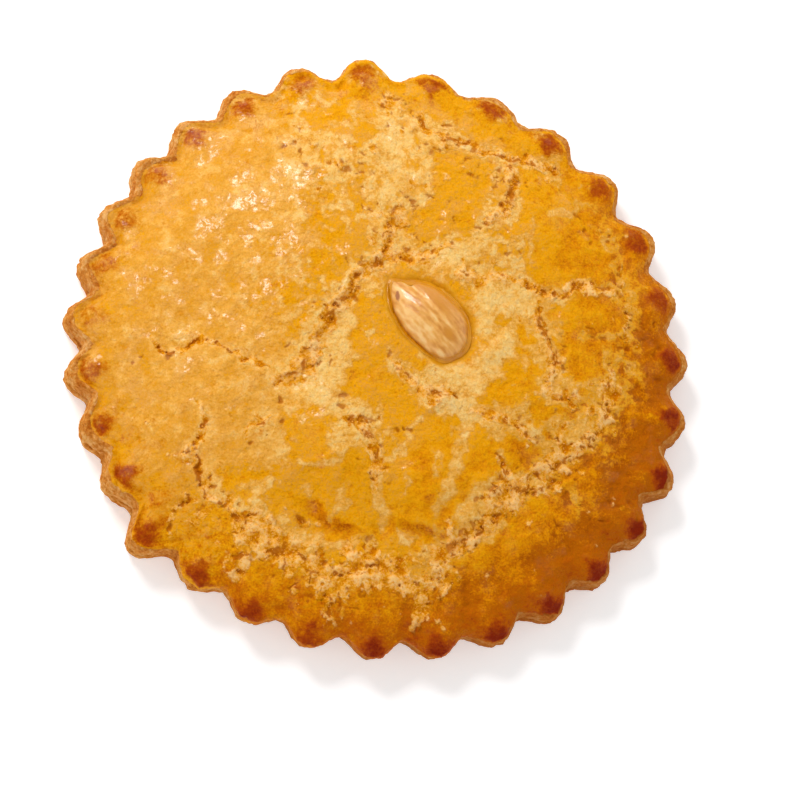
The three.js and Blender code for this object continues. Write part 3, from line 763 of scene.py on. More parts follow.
def almondOutline():
    loop = almond["outline"] + almond["outline"][:1]
    way, aside = (evenly(loop, 0.2) - almond["middle"]).T
    angle = np.arctan2(aside, way)
    order = np.argsort(angle)
    return angle[order], np.hypot(way, aside)[order]


# How far a place is from the almond's middle, where 1 is its outline, and how far past the outline in mm.
def almondReach(x, y):
    way, aside = alongAlmond(x, y)
    way, aside = way - almond["middle"][0], aside - almond["middle"][1]
    away = np.hypot(way, aside)
    edge = np.interp(np.arctan2(aside, way), *almondOutline(), period=2 * math.pi)
    return away / edge, away - edge


def tint(code):
    channels = [int(code[n : n + 2], 16) / 255 for n in (0, 2, 4)]
    return [c / 12.92 if c <= 0.04045 else ((c + 0.055) / 1.055) ** 2.4 for c in channels] + [1.0]


class Finish:
    def __init__(self, name):
        self.material = bpy.data.materials.new(name)
        self.material.use_nodes = True
        self.tree = self.material.node_tree
        self.shader = self.tree.nodes["Principled BSDF"]
        place = addNode(self.tree, "ShaderNodeTexCoord").outputs["Object"]
        made = {"Vector": place, "Scale": 1 / metresPerMm}
        self.place = addNode(self.tree, "ShaderNodeVectorMath", made, operation="SCALE").outputs["Vector"]

    def painted(self, label):
        node = addNode(self.tree, "ShaderNodeAttribute", attribute_name=label)
        return Wire(self.tree, node.outputs["Fac"])

    # Noise from 0 to 1 with lumps of a size in mm.
    def noise(self, size, detail=2.0, roughness=0.5):
        made = {"Vector": self.place, "Scale": 1 / size, "Detail": detail, "Roughness": roughness}
        return Wire(self.tree, addNode(self.tree, "ShaderNodeTexNoise", made).outputs["Fac"])

    def cells(self, size):
        made = {"Vector": self.place, "Scale": 1 / size}
        return Wire(self.tree, addNode(self.tree, "ShaderNodeTexVoronoi", made).outputs["Distance"])

    def ramp(self, value, stops):
        node = addNode(self.tree, "ShaderNodeValToRGB", {"Fac": value})
        ramp = node.color_ramp
        while len(ramp.elements) < len(stops):
            ramp.elements.new(0.5)
        for element, (position, code) in zip(ramp.elements, stops):
            element.position, element.color = position, tint(code)
        return node.outputs["Color"]

    # The first colour, turning into the second as the factor goes to 1.
    def mix(self, factor, first, second):
        node = addNode(self.tree, "ShaderNodeMix", data_type="RGBA")
        for socket, value in ((0, factor), (6, first), (7, second)):
            plug(self.tree, tint(value) if isinstance(value, str) else value, node.inputs[socket])
        return node.outputs[2]

    def relief(self, height, distance):
        made = {"Height": height, "Distance": distance * metresPerMm, "Strength": 1.0}
        return addNode(self.tree, "ShaderNodeBump", made).outputs["Normal"]

    def set(self, **values):
        labels = {
            "colour": "Base Color",
            "rough": "Roughness",
            "normal": "Normal",
            "glow": "Subsurface Weight",
            "glowReach": "Subsurface Scale",
            "glowTint": "Subsurface Radius",
            "specular": "Specular IOR Level",
            "coat": "Coat Weight",
            "coatRough": "Coat Roughness",
            "coatNormal": "Coat Normal",
            "shine": "Emission Color",
            "shineStrength": "Emission Strength",
        }
        for label, value in values.items():
            plug(self.tree, value, self.shader.inputs[labels[label]])
        return self.material


# What the noises in the crust are like, as (lump size in mm, detail, roughness).
crustNoise = {
    "ragged": (0.6, 3.0, 0.6),
    "blotch": (3.4, 4.0, 0.62),
    "mottle": (1.1, 3.0, 0.6),
    "fine": (0.38, 2.0, 0.5),
    "grain": (0.5, 3.0, 0.65),
    "flake": (0.8, 4.0, 0.7),
    "skin": (1.0, 4.0, 0.65),
    "rolling": (5.0, 3.0, 0.42),
    "gloss": (3.6, 3.0, 0.55),
}
# Its colours: single ones, pairs for egged and for pale skin, and ramps from thin or cool to thick or hot.
crustTones = {
    "egg": [
        (0.0, "fcd286"), (0.18, "fac46c"), (0.35, "f1ae48"), (0.5, "e69e30"), (0.62, "f0a404"),
        (0.8, "de8600"), (0.92, "bc6200"), (1.0, "a85000"),
    ],
    "pale skin": "fdca68",
    "fleck": "b86c10",
    "browned": [(0.1, "d48000"), (0.4, "c86a00"), (0.7, "ab4606"), (1.0, "882406")],
    "crumb": [(0.24, "d07800"), (0.42, "e6980e"), (0.56, "f8b24a"), (0.78, "fdc87c")],
    "toasted crumb": "b87018",
    # painted shade: the darker colours mixed into the crumb's pits and crevices stand in for the shade inside
    # them
    "crumbPitShade": ("c87800", "d08416"),
    "cut edge": [(0.36, "bc6010"), (0.5, "e0903a"), (0.62, "f4b86e")],
    "toasted edge": "a04e10",
    # painted shade: the darker colours mixed into pits and crevices of the skin stand in for the shade inside
    # them
    "pit": ("ae5604", "bc660c"),
    "pooled egg": [(0.3, "e8a420"), (0.95, "cc8208")],
}


# How strongly each thing shows in the colour of the egg, in its browning, in the relief and in the gloss.
crustAmounts = {
    "egg": {"plates": 0.34, "blotches": 0.7, "mottling": 0.3, "speckling": 0.38, "pale patches": 0.5},
    "browning": {"blotches": 0.9, "mottling": 0.7, "speckling": 0.4},
    "relief": {"skin": 0.6, "swells": 0.4, "crumb": 0.25, "cut edge": 0.5, "plates": 0.07, "rolling": 1.5},
    "gloss": {"most": 1.2, "coat": 0.8, "rough": 0.24},
}


# Baked dough under egg, with bare crumb where it cracked and a bare cut edge.
def crustFinish():
    look = Finish("goldenCrust")
    painted = ("crumb", "amber", "toast", "pit", "bare", "wet", "patchy", "gloss", "matte")
    crumb, amber, toast, pit, bare, wet, patchy, gloss, matte = (look.painted(label) for label in painted)
    noises = ("ragged", "blotch", "mottle", "fine", "grain")
    ragged, blotch, mottle, fine, grain = (look.noise(*crustNoise[label]) for label in noises)
    crumbed = (crumb + (ragged - 0.5) * 1.1).step(0.2, 0.8)
    cut = (bare + (ragged - 0.5) * 0.6).step(0.35, 0.65)

    plate = (look.painted("plate") + (ragged - 0.5) * 0.6 + (mottle - 0.5) * 0.5).step(0.0, 0.7)
    much = crustAmounts["egg"]
    tone = amber + plate * much["plates"] + (blotch - 0.5) * patchy * much["blotches"]
    tone = tone + (mottle - 0.5) * much["mottling"] + (fine - 0.5) * much["speckling"]
    tone = tone + (mottle - 0.5 + blotch - 0.5) * much["pale patches"] * matte
    glazed = look.mix(matte * 0.12, look.ramp(tone, crustTones["egg"]), crustTones["pale skin"])
    fleck = look.cells(1.7).step(0.2, 0.08) * look.noise(4.0).step(0.5, 0.6)
    glazed = look.mix(fleck * 0.4, glazed, crustTones["fleck"])
    much = crustAmounts["browning"]
    heat = toast + (blotch - 0.5) * much["blotches"] + (mottle - 0.5) * much["mottling"]
    heat = heat + (fine - 0.5) * much["speckling"]
    glazed = look.mix(heat.step(0.05, 0.6), glazed, look.ramp(heat, crustTones["browned"]))

    # The crumb is painted paler on its crests and darker in the hollows between its grains: painted shade.
    meal = (grain - 0.5) * 1.1 + look.noise(2.2) * 0.5 + look.painted("crestAndHollowShade") * 0.6 - 0.05
    crumby = look.ramp(meal, crustTones["crumb"])
    crumby = look.mix(toast.step(0.1, 0.9) * 0.75, crumby, crustTones["toasted crumb"])
    # Painted shade darkens the crumb in its pits and crevices.
    crumby = look.mix(pit * 0.85, crumby, look.mix(matte, *crustTones["crumbPitShade"]))

    flake = look.noise(*crustNoise["flake"]) * 0.6 + look.noise(2.6) * 0.4
    edge = look.ramp(flake, crustTones["cut edge"])
    edge = look.mix(toast.step(0.1, 0.75) * 0.75, edge, crustTones["toasted edge"])

    colour = look.mix(cut, look.mix(crumbed, glazed, crumby), edge)
    # Painted shade darkens every pit and crevice, skin and crumb alike.
    colour = look.mix(pit.step(0.12, 0.75) * 0.7, colour, look.mix(matte, *crustTones["pit"]))
    colour = look.mix(wet.step(0.0, 0.7), colour, look.ramp(wet, crustTones["pooled egg"]))

    much = crustAmounts["relief"]
    dull = (crumbed + cut - crumbed * cut) * (1 - wet)
    skin = (look.noise(*crustNoise["skin"]) - 0.5) * much["skin"]
    skin = skin + (look.noise(2.6, 1.0) - 0.5) * much["swells"]
    coarse = dull * much["crumb"] + cut * much["cut edge"] + matte * 0.12
    height = skin * (1 - dull) * (1 - wet * 0.8) + (grain - 0.5) * coarse - dull * 0.05
    height = height + plate * (1 - dull) * much["plates"]
    rolling = look.noise(*crustNoise["rolling"]) * much["rolling"] + look.noise(0.5, 1.0) * 0.04

    much = crustAmounts["gloss"]
    glints = (look.noise(*crustNoise["gloss"]) + gloss * 0.1).step(0.57, 0.7)
    glossy = glints * (1 - dull) * (1 - matte * 0.3) * gloss.math("MINIMUM", much["most"]) * much["coat"]
    look.set(glow=0.15, glowReach=0.0007, glowTint=(1.0, 0.65, 0.35), specular=0.03)
    look.set(coat=glossy, coatRough=much["rough"], coatNormal=look.relief(rolling, 1.0))
    return look.set(colour=colour, rough=dull * 0.3 + 0.5, normal=look.relief(height, 1.0))


def almondFinish():
    look = Finish("blanchedAlmond")
    streak, syrup, spot = look.painted("streak"), look.painted("syrup"), look.painted("spot")
    mottle = look.noise(0.9, 3.0, 0.55)
    skin = look.ramp(streak + (mottle - 0.5) * 0.5, [(0.1, "d08628"), (0.45, "e8a74c"), (0.8, "f6c67c")])
    skin = look.mix((syrup + (mottle - 0.5) * 0.5).step(0.2, 0.8), skin, "d48a16")
    skin = look.mix(spot, skin, "a8632c")
    height = look.noise(0.8, 2.0) * 0.08
    look.set(glow=0.2, glowReach=0.0012, glowTint=(1.0, 0.55, 0.25), coat=0.4, coatRough=0.12)
    return look.set(colour=skin, rough=0.42, normal=look.relief(height, 1.0))


def eggFinish():
    look = Finish("bakedEgg")
    colour = look.ramp(look.noise(2.0, 3.0), [(0.3, "cd8210"), (0.7, "dd9718")])
    return look.set(colour=colour, rough=0.14, normal=look.relief(look.noise(1.2) * 0.08, 1.0))


def grainFinish():
    look = Finish("looseCrumb")
    tone = look.painted("tone") * 0.7 + look.noise(0.4) * 0.3
    colour = look.ramp(tone, [(0.0, "e08c1c"), (0.5, "f0a83c"), (1.0, "f8c070")])
    return look.set(colour=colour, rough=0.8, specular=0.05)


crust = crustFinish()
crumbLook = grainFinish()
print("finishes ready")


# Splits the triangles near the wanted points into four.
def refine(piece, wanted):
    shape = bmesh.new()
    shape.from_mesh(piece.data)
    shape.verts.ensure_lookup_table()
    edges = [edge for edge in shape.edges if wanted[edge.verts[0].index] and wanted[edge.verts[1].index]]
    bmesh.ops.subdivide_edges(shape, edges=edges, cuts=1, use_grid_fill=True)
    bmesh.ops.triangulate(shape, faces=[face for face in shape.faces if len(face.verts) > 3])
    shape.to_mesh(piece.data)
    shape.free()


# The lists of cracks, swells and egg count from the cutter's centre, the finished model from its outline's.
def fromCutter(points):
    return points[:, 0] + outlineMiddle[0], points[:, 1] + outlineMiddle[1]


# How the grains and clods of bare crumb stand out, and where it is pitted.
def crumbRelief(x, y, crumb):
    near, _, own = grains(x, y, oven["grain"], 41)
    fineNear, _, _ = grains(x, y, oven["fine grain"], 42)
    pitNear, _, pitOwn = grains(x + 0.2 * lumps(x, y, 0.6, 44), y, oven["pit size"], 43)
    lump = oven["grain height"] * (0.4 + 0.6 * own) * (0.6 - near**2 * 1.3)
    lump = lump + oven["fine height"] * (0.5 - fineNear) + oven["clod height"] * lumps(x, y, oven["clod"], 45)
    rare = 1 - oven["pit share"]
    pitted = smooth(pitOwn, rare - 0.02, rare + 0.02) * smooth(0.42 - pitNear, 0, 0.2)
    return lump, pitted * smooth(crumb, 0.4, 1.0)


# 1 in the middle of a pale vein, 0 away from it.
def veinField(x, y):
    bentX, bentY = bent(x, y, [(1.0, 2.4), (0.5, 1.0)], 96)
    pale = np.zeros(x.shape)
    for number, (half, way) in enumerate(veins):
        low, high = np.min(way, axis=0) - half - 3, np.max(way, axis=0) + half + 3
        inside = (x > low[0]) & (x < high[0]) & (y > low[1]) & (y < high[1])
        away, run, _ = fromWay(way, bentX[inside], bentY[inside])
        wide = half * (0.8 + 0.5 * lumps(run * 12, run * 0 + number * 5.3, 2.5, 60))
        pale[inside] = np.maximum(pale[inside], smooth(wide - away, -0.6, 0.5))
    return pale


# How the folds lift the skin, and how far painted shade darkens the far side of each sinking fold, where some
# egg also pooled.
def foldRelief(x, y):
    lift = shade = 0
    bentX, bentY = bent(x, y, [(0.6, 3)], 61)
    for fold in folds:
        away, run, side = fromWay(fold["way"], bentX, bentY)
        ends = smooth(np.minimum(run, 1 - run), -0.1, 0.3)
        half = fold["half"]
        if fold["height"] > 0:
            lift = lift + fold["height"] * ends * hump(away, 0, half)
        else:
            past = side * away
            recovered = hump(np.maximum(past - 1.6 * half, 0), 0, 2.5 * half)
            lift = lift + fold["height"] * ends * smooth(past, -0.2, 1.6 * half) * recovered
            # painted shade on the far side of the fold, partly egg pooled in its dent
            shade = shade - fold["height"] * ends * smooth(past, -0.2, 0.3) * hump(past, 0, 1.8 * half)
    return lift, shade


# What changes round the rim, each as (azimuth in degrees, value). Heats are shares and the rest is in mm.
roundRim = {
    # how far the egg ran over the lip and down the edge
    "egg reach": [
        (-180, -0.9), (-150, -0.7), (-138, -0.3), (-125, 1.2), (-110, 3.0), (-90, 3.0), (-70, 1.0),
        (-60, 0.2), (-40, -0.4), (-10, -0.9), (45, -0.8), (75, -0.2), (90, 0.1), (115, -0.4), (140, -1.2),
    ],
    # how brown the flute tips are, and how far in from the lip their brown starts
    "tip heat": [
        (-180, 0.34), (-150, 0.36), (-120, 0.4), (-90, 0.5), (-60, 0.6), (-30, 0.68), (0, 0.52), (30, 0.46),
        (60, 0.46), (90, 0.46), (120, 0.44), (150, 0.35),
    ],
    "tip start": [
        (-180, 1.3), (-150, 1.0), (-125, -0.6), (-90, -0.9), (-60, -0.5), (-35, -0.3), (0, 1.0), (50, 1.1),
        (85, 0.3), (120, 1.3), (150, 1.6),
    ],
    # how brown the skin turns towards the rim
    "rim heat": [
        (-180, 0.18), (-155, 0.34), (-135, 0.5), (-115, 0.56), (-90, 0.7), (-60, 0.72), (-30, 0.62),
        (0, 0.42), (30, 0.28), (60, 0.16), (90, 0.16), (130, 0.12),
    ],
    # how much the skin rolled out over the edge
    "rolled": [
        (-180, 0), (-145, 0), (-130, 0.5), (-115, 1), (-80, 0.9), (-60, 0.25), (0, 0.2), (90, 0.2), (120, 0),
    ],
}
# The brown patch on a flute tip in mm, how much longer and wider it is at the left and sharper at the right.
tipPatch = {"length": 5.2, "longer": 1.6, "taper": 3.0, "half": 3.2, "wider": 0.8, "fade": 4, "sharper": 1.6}
# The lip from the outside in, as (height, distance in from the lip, half width) in mm.
lipShape = {
    "grit": (0.3, 0.6, 1.3),
    "ridge": (0.5, 0.1, 0.7),
    "groove": (-0.5, 1.7, 0.8),
    "fuller": (0.7, 3.5, 3.0),
}
# How far the edges stand out or in, and their relief and wavering, as (height, size) in mm.
edgeShape = {
    "rolled out": 0.95,
    "tucked in": 0.6,
    "flakes": (0.34, 1.4),
    "broad flakes": (0.16, 3.5),
    "waver": (0.16, 5.0),
    "fine waver": (0.08, 1.5),
}


# The points of a sheet, what its blank noted at each and where each lies round the rim.
class Sheet:
    def __init__(self, piece, middle):
        self.points = pointsOf(piece)
        for label in ("share", "lift", "place", "height", "run"):
            setattr(self, label, readValues(piece, label))
        self.x, self.y = self.points[:, 0] + middle[0], self.points[:, 1] + middle[1]
        self.angle = np.arctan2(self.y, self.x)
        self.outward = self.points[:, :2] / np.maximum(np.hypot(self.x, self.y), 1e-6)[:, None]
        self.ring = self.place / cutter["Flutes"] * 2 * math.pi * cutter["Rim Radius"]
        self.towardsHeat = np.cos(self.angle - oven["browning towards"])

    def byAzimuth(self, label):
        return np.interp(np.degrees(self.angle), *np.array(roundRim[label], float).T, period=360)

    def push(self, distance):
        self.points[:, :2] += self.outward * distance[:, None]

    # How far the cut outline wavers out and in along its length.
    def waver(self, share):
        (tall, size), (fineTall, fineSize) = edgeShape["waver"], edgeShape["fine waver"]
        wavy = tall * layers(self.ring, self.ring * 0 + 5, size, 95)
        wavy = wavy + fineTall * lumps(self.ring, self.ring * 0, fineSize, 98) - 0.05
        self.points[:, :2] *= (1 + wavy * share / cutter["Rim Radius"])[:, None]

    # The flaky face of the cut edge.
    def flakes(self, seed):
        (tall, size), (broadTall, broadSize) = edgeShape["flakes"], edgeShape["broad flakes"]
        fine = tall * layers(self.ring, self.height, size, seed)
        return fine + broadTall * lumps(self.ring, self.height, broadSize, seed + 4)


# Splits the triangles where the skin is broken and round the almond's seat.
def refineTop(piece):
    points = pointsOf(piece)
    bare, gap, _ = crackFields(*fromCutter(points))
    reach, _ = almondReach(points[:, 0], points[:, 1])
    wanted = (bare > -0.05) | (gap > 0.08) | ((reach > 0.8) & (reach < 1.25))
    refine(piece, (readValues(piece, "lift") > 0.9) & wanted)


# The nearest flute's number and how far each point is in the brown patch on its tip.
def tipPatches(sheet, leftHand):
    flute = np.floor(sheet.place + 0.5)
    offTip = (sheet.place - flute) * 2 * math.pi * cutter["Rim Radius"] / cutter["Flutes"]
    fromLip = -sheet.run
    rightHand = smooth(np.cos(sheet.angle - radians(25)), 0.5, 0.95)
    start = sheet.byAzimuth("tip start") + 0.3 * lumps(sheet.ring, sheet.ring * 0, 1.8, 93)
    end = start + (tipPatch["length"] + tipPatch["longer"] * leftHand) * hump(offTip, 0, tipPatch["taper"])
    end = end + 0.7 * lumps(sheet.x, sheet.y, 2.5, 89) + 0.4 * lumps(sheet.x, sheet.y, 1.0, 90)
    onTip = smooth(fromLip, start - 0.3, start + 0.3)
    onTip = onTip * smooth(end - fromLip, 0, tipPatch["fade"] - tipPatch["sharper"] * rightHand)
    half = tipPatch["half"] + tipPatch["wider"] * leftHand
    return flute, onTip * np.exp(-np.abs(offTip / half) ** 3)


def lipPart(label, fromLip):
    height, place, half = lipShape[label]
    return height * hump(fromLip, place, half)


def bakeTop(piece):
    refineTop(piece)
    sheet = Sheet(piece, outlineMiddle)
    points, x, y, ring, run = sheet.points, sheet.x, sheet.y, sheet.ring, sheet.run
    fromLip = -run
    onTop = smooth(sheet.lift, 0.6, 1.0)
    leftHand = 0.5 + 0.5 * np.cos(sheet.angle - oven["ridge towards"])
    downwind = x * math.cos(oven["browning towards"]) + y * math.sin(oven["browning towards"])
    flute, onTip = tipPatches(sheet, leftHand)
    reach, pastAlmond = almondReach(points[:, 0], points[:, 1])
    offAlmond = smooth(pastAlmond, 0.8, 3.0)

    bare, gap, sink = crackFields(x, y)
    ragged = 0.6 * lumps(x, y, 2.6, 31) + 0.5 * lumps(x, y, 1.2, 32) + 0.3 * lumps(x, y, 0.55, 33)
    crumb = smooth(bare + 0.7 * ragged, -0.2, 0.5) * offAlmond * smooth(fromLip, 0.8, 2.5)
    gap = gap * offAlmond * smooth(fromLip, 0.3, 2.0)
    sink = sink * offAlmond * smooth(fromLip, 0.3, 2.0)

    # the height of the skin and of the crumb where it is bare
    lump, pitted = crumbRelief(x, y, crumb)
    peel = sum(tall * lumps(x, y, size, 50 + n) for n, (size, tall) in enumerate(oven["orange peel"]))
    peel = peel * (0.8 + 0.5 * lumps(x, y, 11, 57) + 0.7 * smooth(downwind, 8, 40))
    peel = peel * (1 - crumb) * smooth(fromLip, -0.5, 2)
    folded, foldShade = foldRelief(x, y)
    z = unevenness(x, y) * smooth(fromLip, 0, 6) + folded + peel
    z = z + lumps(ring, fromLip, 0.9, 70) * lipPart("grit", fromLip) * leftHand
    z = z - crumb * oven["crumb sink"] + crumb * lump - pitted * oven["pit depth"] - sink
    uneven = 1 + 0.5 * lumps(ring, ring * 0, 2.5, 92) + 0.5 * lumps(ring, fromLip, 1.1, 78)
    ridge = lipPart("ridge", fromLip) + lipPart("groove", fromLip)
    fuller = lipPart("fuller", fromLip) * smooth(fromLip, -0.5, 1)
    z = z + ridge * uneven * leftHand**2 + fuller * (1 - leftHand) + 0.15 * onTip
    z = z - almondSeat["dip"] * hump(np.maximum(pastAlmond, 0), 0, almondSeat["spread"])
    points[:, 2] += z * onTop
    bowl = almond["waist"] - 0.2 - 1.05 * almond["thickness"] * np.sqrt(np.clip(1 - reach**2, 0, 1))
    points[:, 2] = np.where(reach < 1, np.minimum(points[:, 2], bowl), points[:, 2])

    # the cut edge, uneven and rough, with the skin rolled over it where it has no ridge
    rolled = np.where(run > 0, hump(run, 0, 2.2), hump(run, 0, 6.0)) * sheet.byAzimuth("rolled")
    sheet.push(edgeShape["rolled out"] * rolled)
    sheet.waver(smooth(run, -6, 0))
    onEdge = smooth(sheet.height, 3.9, 4.6) * smooth(9.4 - sheet.height, 0, 0.6) * (sheet.share > 0.999)
    sheet.push((sheet.flakes(71) - 0.1) * onEdge)
    movePoints(piece, points)

    # what the finish needs to know
    browned = sheet.byAzimuth("rim heat") * smooth(18 - fromLip, 0, 18)
    torn = 0.4 * lumps(x, y, 2.2, 84) + 0.3 * lumps(x, y, 0.9, 82) + 0.15 * lumps(x, y, 0.5, 83)
    flowX, flowY = bent(x, y, [(1.6, 4.0), (0.8, 1.7)], 85)
    brushed = around(flowX, flowY, egg)
    pooled = brushed + 0.45 * torn + 0.25 * layers(x, y, 8, 81)
    split = smooth(x + 12 * smooth(-y, 8, 28) + 7 * lumps(x, y, 13, 59) + 3 * lumps(x, y, 5, 58), -27, -7)
    underEgg = 1 - 0.9 * smooth(browned, 0.12, 0.4)
    thin = smooth(bare + torn, -0.85, -0.5) * underEgg * (1 - 0.9 * smooth(brushed, 0.2, 0.5))
    pale = veinField(x, y) * underEgg
    plate = smooth(pooled + 0.5, 0, 0.6) * (1 - 0.9 * pale) * (1 - 0.8 * thin) * split
    amber = 0.46 - 0.22 * split + 0.14 * smooth(downwind, 5, 48) + 0.1 * smooth(x, 15, 45)
    amber = amber + 0.04 * split * smooth(pooled, 0.4, 1.0) - 0.15 * thin * (1 - split)
    # foldShade deepens the amber as painted shade on the folds' far side, partly egg pooled in their dents.
    amber = amber - 0.07 * smooth(-pooled, 0, 0.4) - 0.3 * peel + 0.38 * browned + 0.22 * foldShade
    patchy = 0.25 + 0.15 * split + 0.15 * lumps(x, y, 14, 80)
    gloss = smooth(fromLip, 0.8, 3.5) * (0.35 + 0.65 * smooth(lumps(x, y, 9, 79) - downwind / 40, -0.3, 0.6))
    ownHeat = 1 + 0.25 * (chance(flute % cutter["Flutes"] + 300) - 0.5)
    toast = onTip * sheet.byAzimuth("tip heat") * ownHeat + 0.62 * browned * onTop
    eggReach = sheet.byAzimuth("egg reach") + 0.9 * (chance(flute % cutter["Flutes"] + 400) - 0.5)
    eggReach = eggReach + 0.5 * layers(ring, ring * 0, 3.5, 91)
    painted = {
        "crumb": crumb * onTop,
        # where pits and crevices get painted shade
        "pit": np.clip(0.4 * pitted + gap, 0, 1) * onTop,
        # painted shade: low in the hollows between the crumb's grains, high on their crests
        "crestAndHollowShade": np.clip(0.5 + 1.1 * lump, 0, 1),
        "amber": amber,
        "plate": plate,
        "matte": np.maximum(pale, thin) * split * onTop,
        "patchy": np.clip(patchy, 0.2, 1.1),
        "gloss": gloss + around(x, y, shine),
        "toast": toast + 0.5 * (1 - onTop) * (0.4 + 0.6 * sheet.towardsHeat),
        "bare": smooth(run - eggReach, -0.1, 0.6),
        "wet": smooth(2.3 + 0.6 * lumps(x, y, 3, 94) - pastAlmond, 0, 2.2) * onTop,
    }
    for label, values in painted.items():
        writeValues(piece, label, values)


def bakeBottom(piece):
    sheet = Sheet(piece, (0, 0))
    sheet.waver(1)
    sheet.push(-edgeShape["tucked in"] * sheet.byAzimuth("rolled"))
    onEdge = smooth(sheet.height, 0.1, 0.7) * smooth(3.8 - sheet.height, 0, 0.4) * (sheet.share > 0.999)
    sheet.push((sheet.flakes(171) - 0.14) * onEdge)
    movePoints(piece, sheet.points)
    writeValues(piece, "toast", 0.25 + 0.35 * sheet.towardsHeat + 0.3 * smooth(1.2 - sheet.height, 0, 1.2))
    writeValues(piece, "bare", np.ones(len(sheet.points)))
    for label in ("crumb", "pit", "amber", "plate", "matte", "wet", "patchy", "gloss", "crestAndHollowShade"):
        writeValues(piece, label, np.zeros(len(sheet.points)))


topDough = runTree(topBlank(), fluteCutterTree(), cutter)
bottomDough = runTree(bottomBlank(), bpy.data.node_groups["fluteCutter"], cutter)
bottomPoints = pointsOf(bottomDough)
outlineMiddle = (bottomPoints.min(0) + bottomPoints.max(0)) / 2 * (1, 1, 0)
for sheet in (topDough, bottomDough):
    movePoints(sheet, pointsOf(sheet) - outlineMiddle)
print("sheets cut")
bakeTop(topDough)
bakeBottom(bottomDough)
print("sheets baked")


# Quads between rings of points, each ring below the last; closed joins the last ring to the first.
def ringFaces(count, rings, closed):
    faces = []
    for ring in range(rings if closed else rings - 1):
        a, b = ring * count, (ring + 1) % rings * count
        for n in range(count):
            onward = (n + 1) % count
            faces.append((a + n, b + n, b + onward, a + onward))
    return faces


def almondPiece():
    angles = np.linspace(-math.pi, math.pi, almond["around"], endpoint=False)
    edge = np.interp(angles, *almondOutline(), period=2 * math.pi)
    turns = np.linspace(0, math.pi, almond["rings"] * 2 + 1)[1:-1]
    points = []
    for turn in turns:
        level = math.cos(turn)
        way = almond["middle"][0] + edge * math.sin(turn) * np.cos(angles)
        aside = almond["middle"][1] + edge * math.sin(turn) * np.sin(angles)
        full = 0.6 + 0.4 * smooth(way, -1, 8) - 0.12 * smooth(way, 11, 18)
        rise = math.copysign(abs(level) ** 0.85, level) * almond["thickness"] * full
        if turn < math.pi / 2:
            rise = rise + almondRelief(way, aside) * level**0.5
        x, y = fromAlmond(way, aside)
        points.append(np.column_stack([x, y, almond["waist"] + rise]))
    count = len(angles)
    top = np.mean(points[0], axis=0)
    bottom = np.mean(points[-1], axis=0)
    points = np.vstack(points + [top, bottom])
    faces = ringFaces(count, len(turns), False)
    last = (len(turns) - 1) * count
    for n in range(count):
        faces.append((len(points) - 2, n, (n + 1) % count))
        faces.append((len(points) - 1, last + (n + 1) % count, last + n))
    way, aside = alongAlmond(points[:, 0], points[:, 1])
    streak = 0.5 + 0.45 * lumps(way * 0.22, aside, 0.9, 101) + 0.25 * lumps(way * 0.3, aside, 0.45, 102)
    streak = streak + 0.25 * smooth(-aside, -1, 3) - 0.15
    syrup = 0.75 * smooth(aside, 2.0, 3.6) * smooth(way, 2.0, 5.0) * smooth(-way, -16, -9)
    syrup = syrup + 0.8 * np.exp(-((way - 14.3) ** 2 / 3.5) - (aside - 1.2) ** 2 / 0.9)
    syrup = syrup + 0.5 * np.exp(-((way - 7.5) ** 2 / 6) - (aside - 1.5) ** 2 / 0.5)
    syrup = syrup + 0.6 * smooth(almondReach(points[:, 0], points[:, 1])[0], 0.9, 1.0)
    fromSpot, besideSpot = way - 2.85, aside + 1.1
    leanWay, leanAside = fromSpot * 0.78 - besideSpot * 0.62, fromSpot * 0.62 + besideSpot * 0.78
    fromSpot = np.hypot(leanWay / 0.85, leanAside / 0.36) - 0.3 * lumps(way, aside, 0.5, 104)
    spot = smooth(1.25 - fromSpot, 0, 0.5)
    return meshFrom("almondKernel", points, faces, {"streak": streak, "syrup": syrup, "spot": spot})


# The crease from the notch beside the point, and the faint ribs of the skin.
def almondRelief(way, aside):
    crease = -0.55 * hump(aside, 2.15 + 0.02 * way, 0.55) * smooth(way, 0.5, 2.4) * smooth(-way, -9.5, -4)
    nib = -0.25 * np.exp(-((way - 2.4) ** 2 + (aside - 2.6) ** 2) / 1.0)
    ribs = 0.07 * lumps(way * 0.25, aside, 0.9, 101) + 0.05 * lumps(way, aside, 2.0, 103)
    return crease + nib + ribs


# The egg's cross-section, as (distance past the almond's outline, height, waver) in mm.
poolProfile = [
    (-0.7, 0.55, 0), (-0.1, 0.36, 0), (0.1, 0.16, 0), (0.3, 0.0, 0), (0.5, 0.1, 0.15), (0.75, 0.0, 0.3),
    (0.3, -0.5, 0), (-0.5, -0.6, 0),
]


# A ring of thick egg between the almond and the dough, climbing both.
def eggPool():
    corners = [tuple(face.vertices) for face in topDough.data.polygons]
    dough = BVHTree.FromPolygons([tuple(point) for point in pointsOf(topDough)], corners)
    angles = np.linspace(-math.pi, math.pi, 240, endpoint=False)
    edge = np.interp(angles, *almondOutline(), period=2 * math.pi)
    wobble = lumps(np.cos(angles) * 9, np.sin(angles) * 9, 3.0, 111)
    points = []
    for past, rise, waver in poolProfile:
        reach = edge + past + waver * wobble
        way, aside = reach * np.cos(angles), reach * np.sin(angles)
        x, y = fromAlmond(almond["middle"][0] + way, almond["middle"][1] + aside)
        for px, py in zip(x, y):
            if past > 0.4 and rise > -0.4:
                level = dough.ray_cast((px, py, 40), (0, 0, -1))[0].z
            else:
                level = almondSeat["level"]
            points.append((px, py, level + rise))
    return meshFrom("eggPool", points, ringFaces(len(angles), len(poolProfile), True))

crumbling = {"Crumb Density": 3.2, "Grain Radius": 0.15, "Seed": 7}


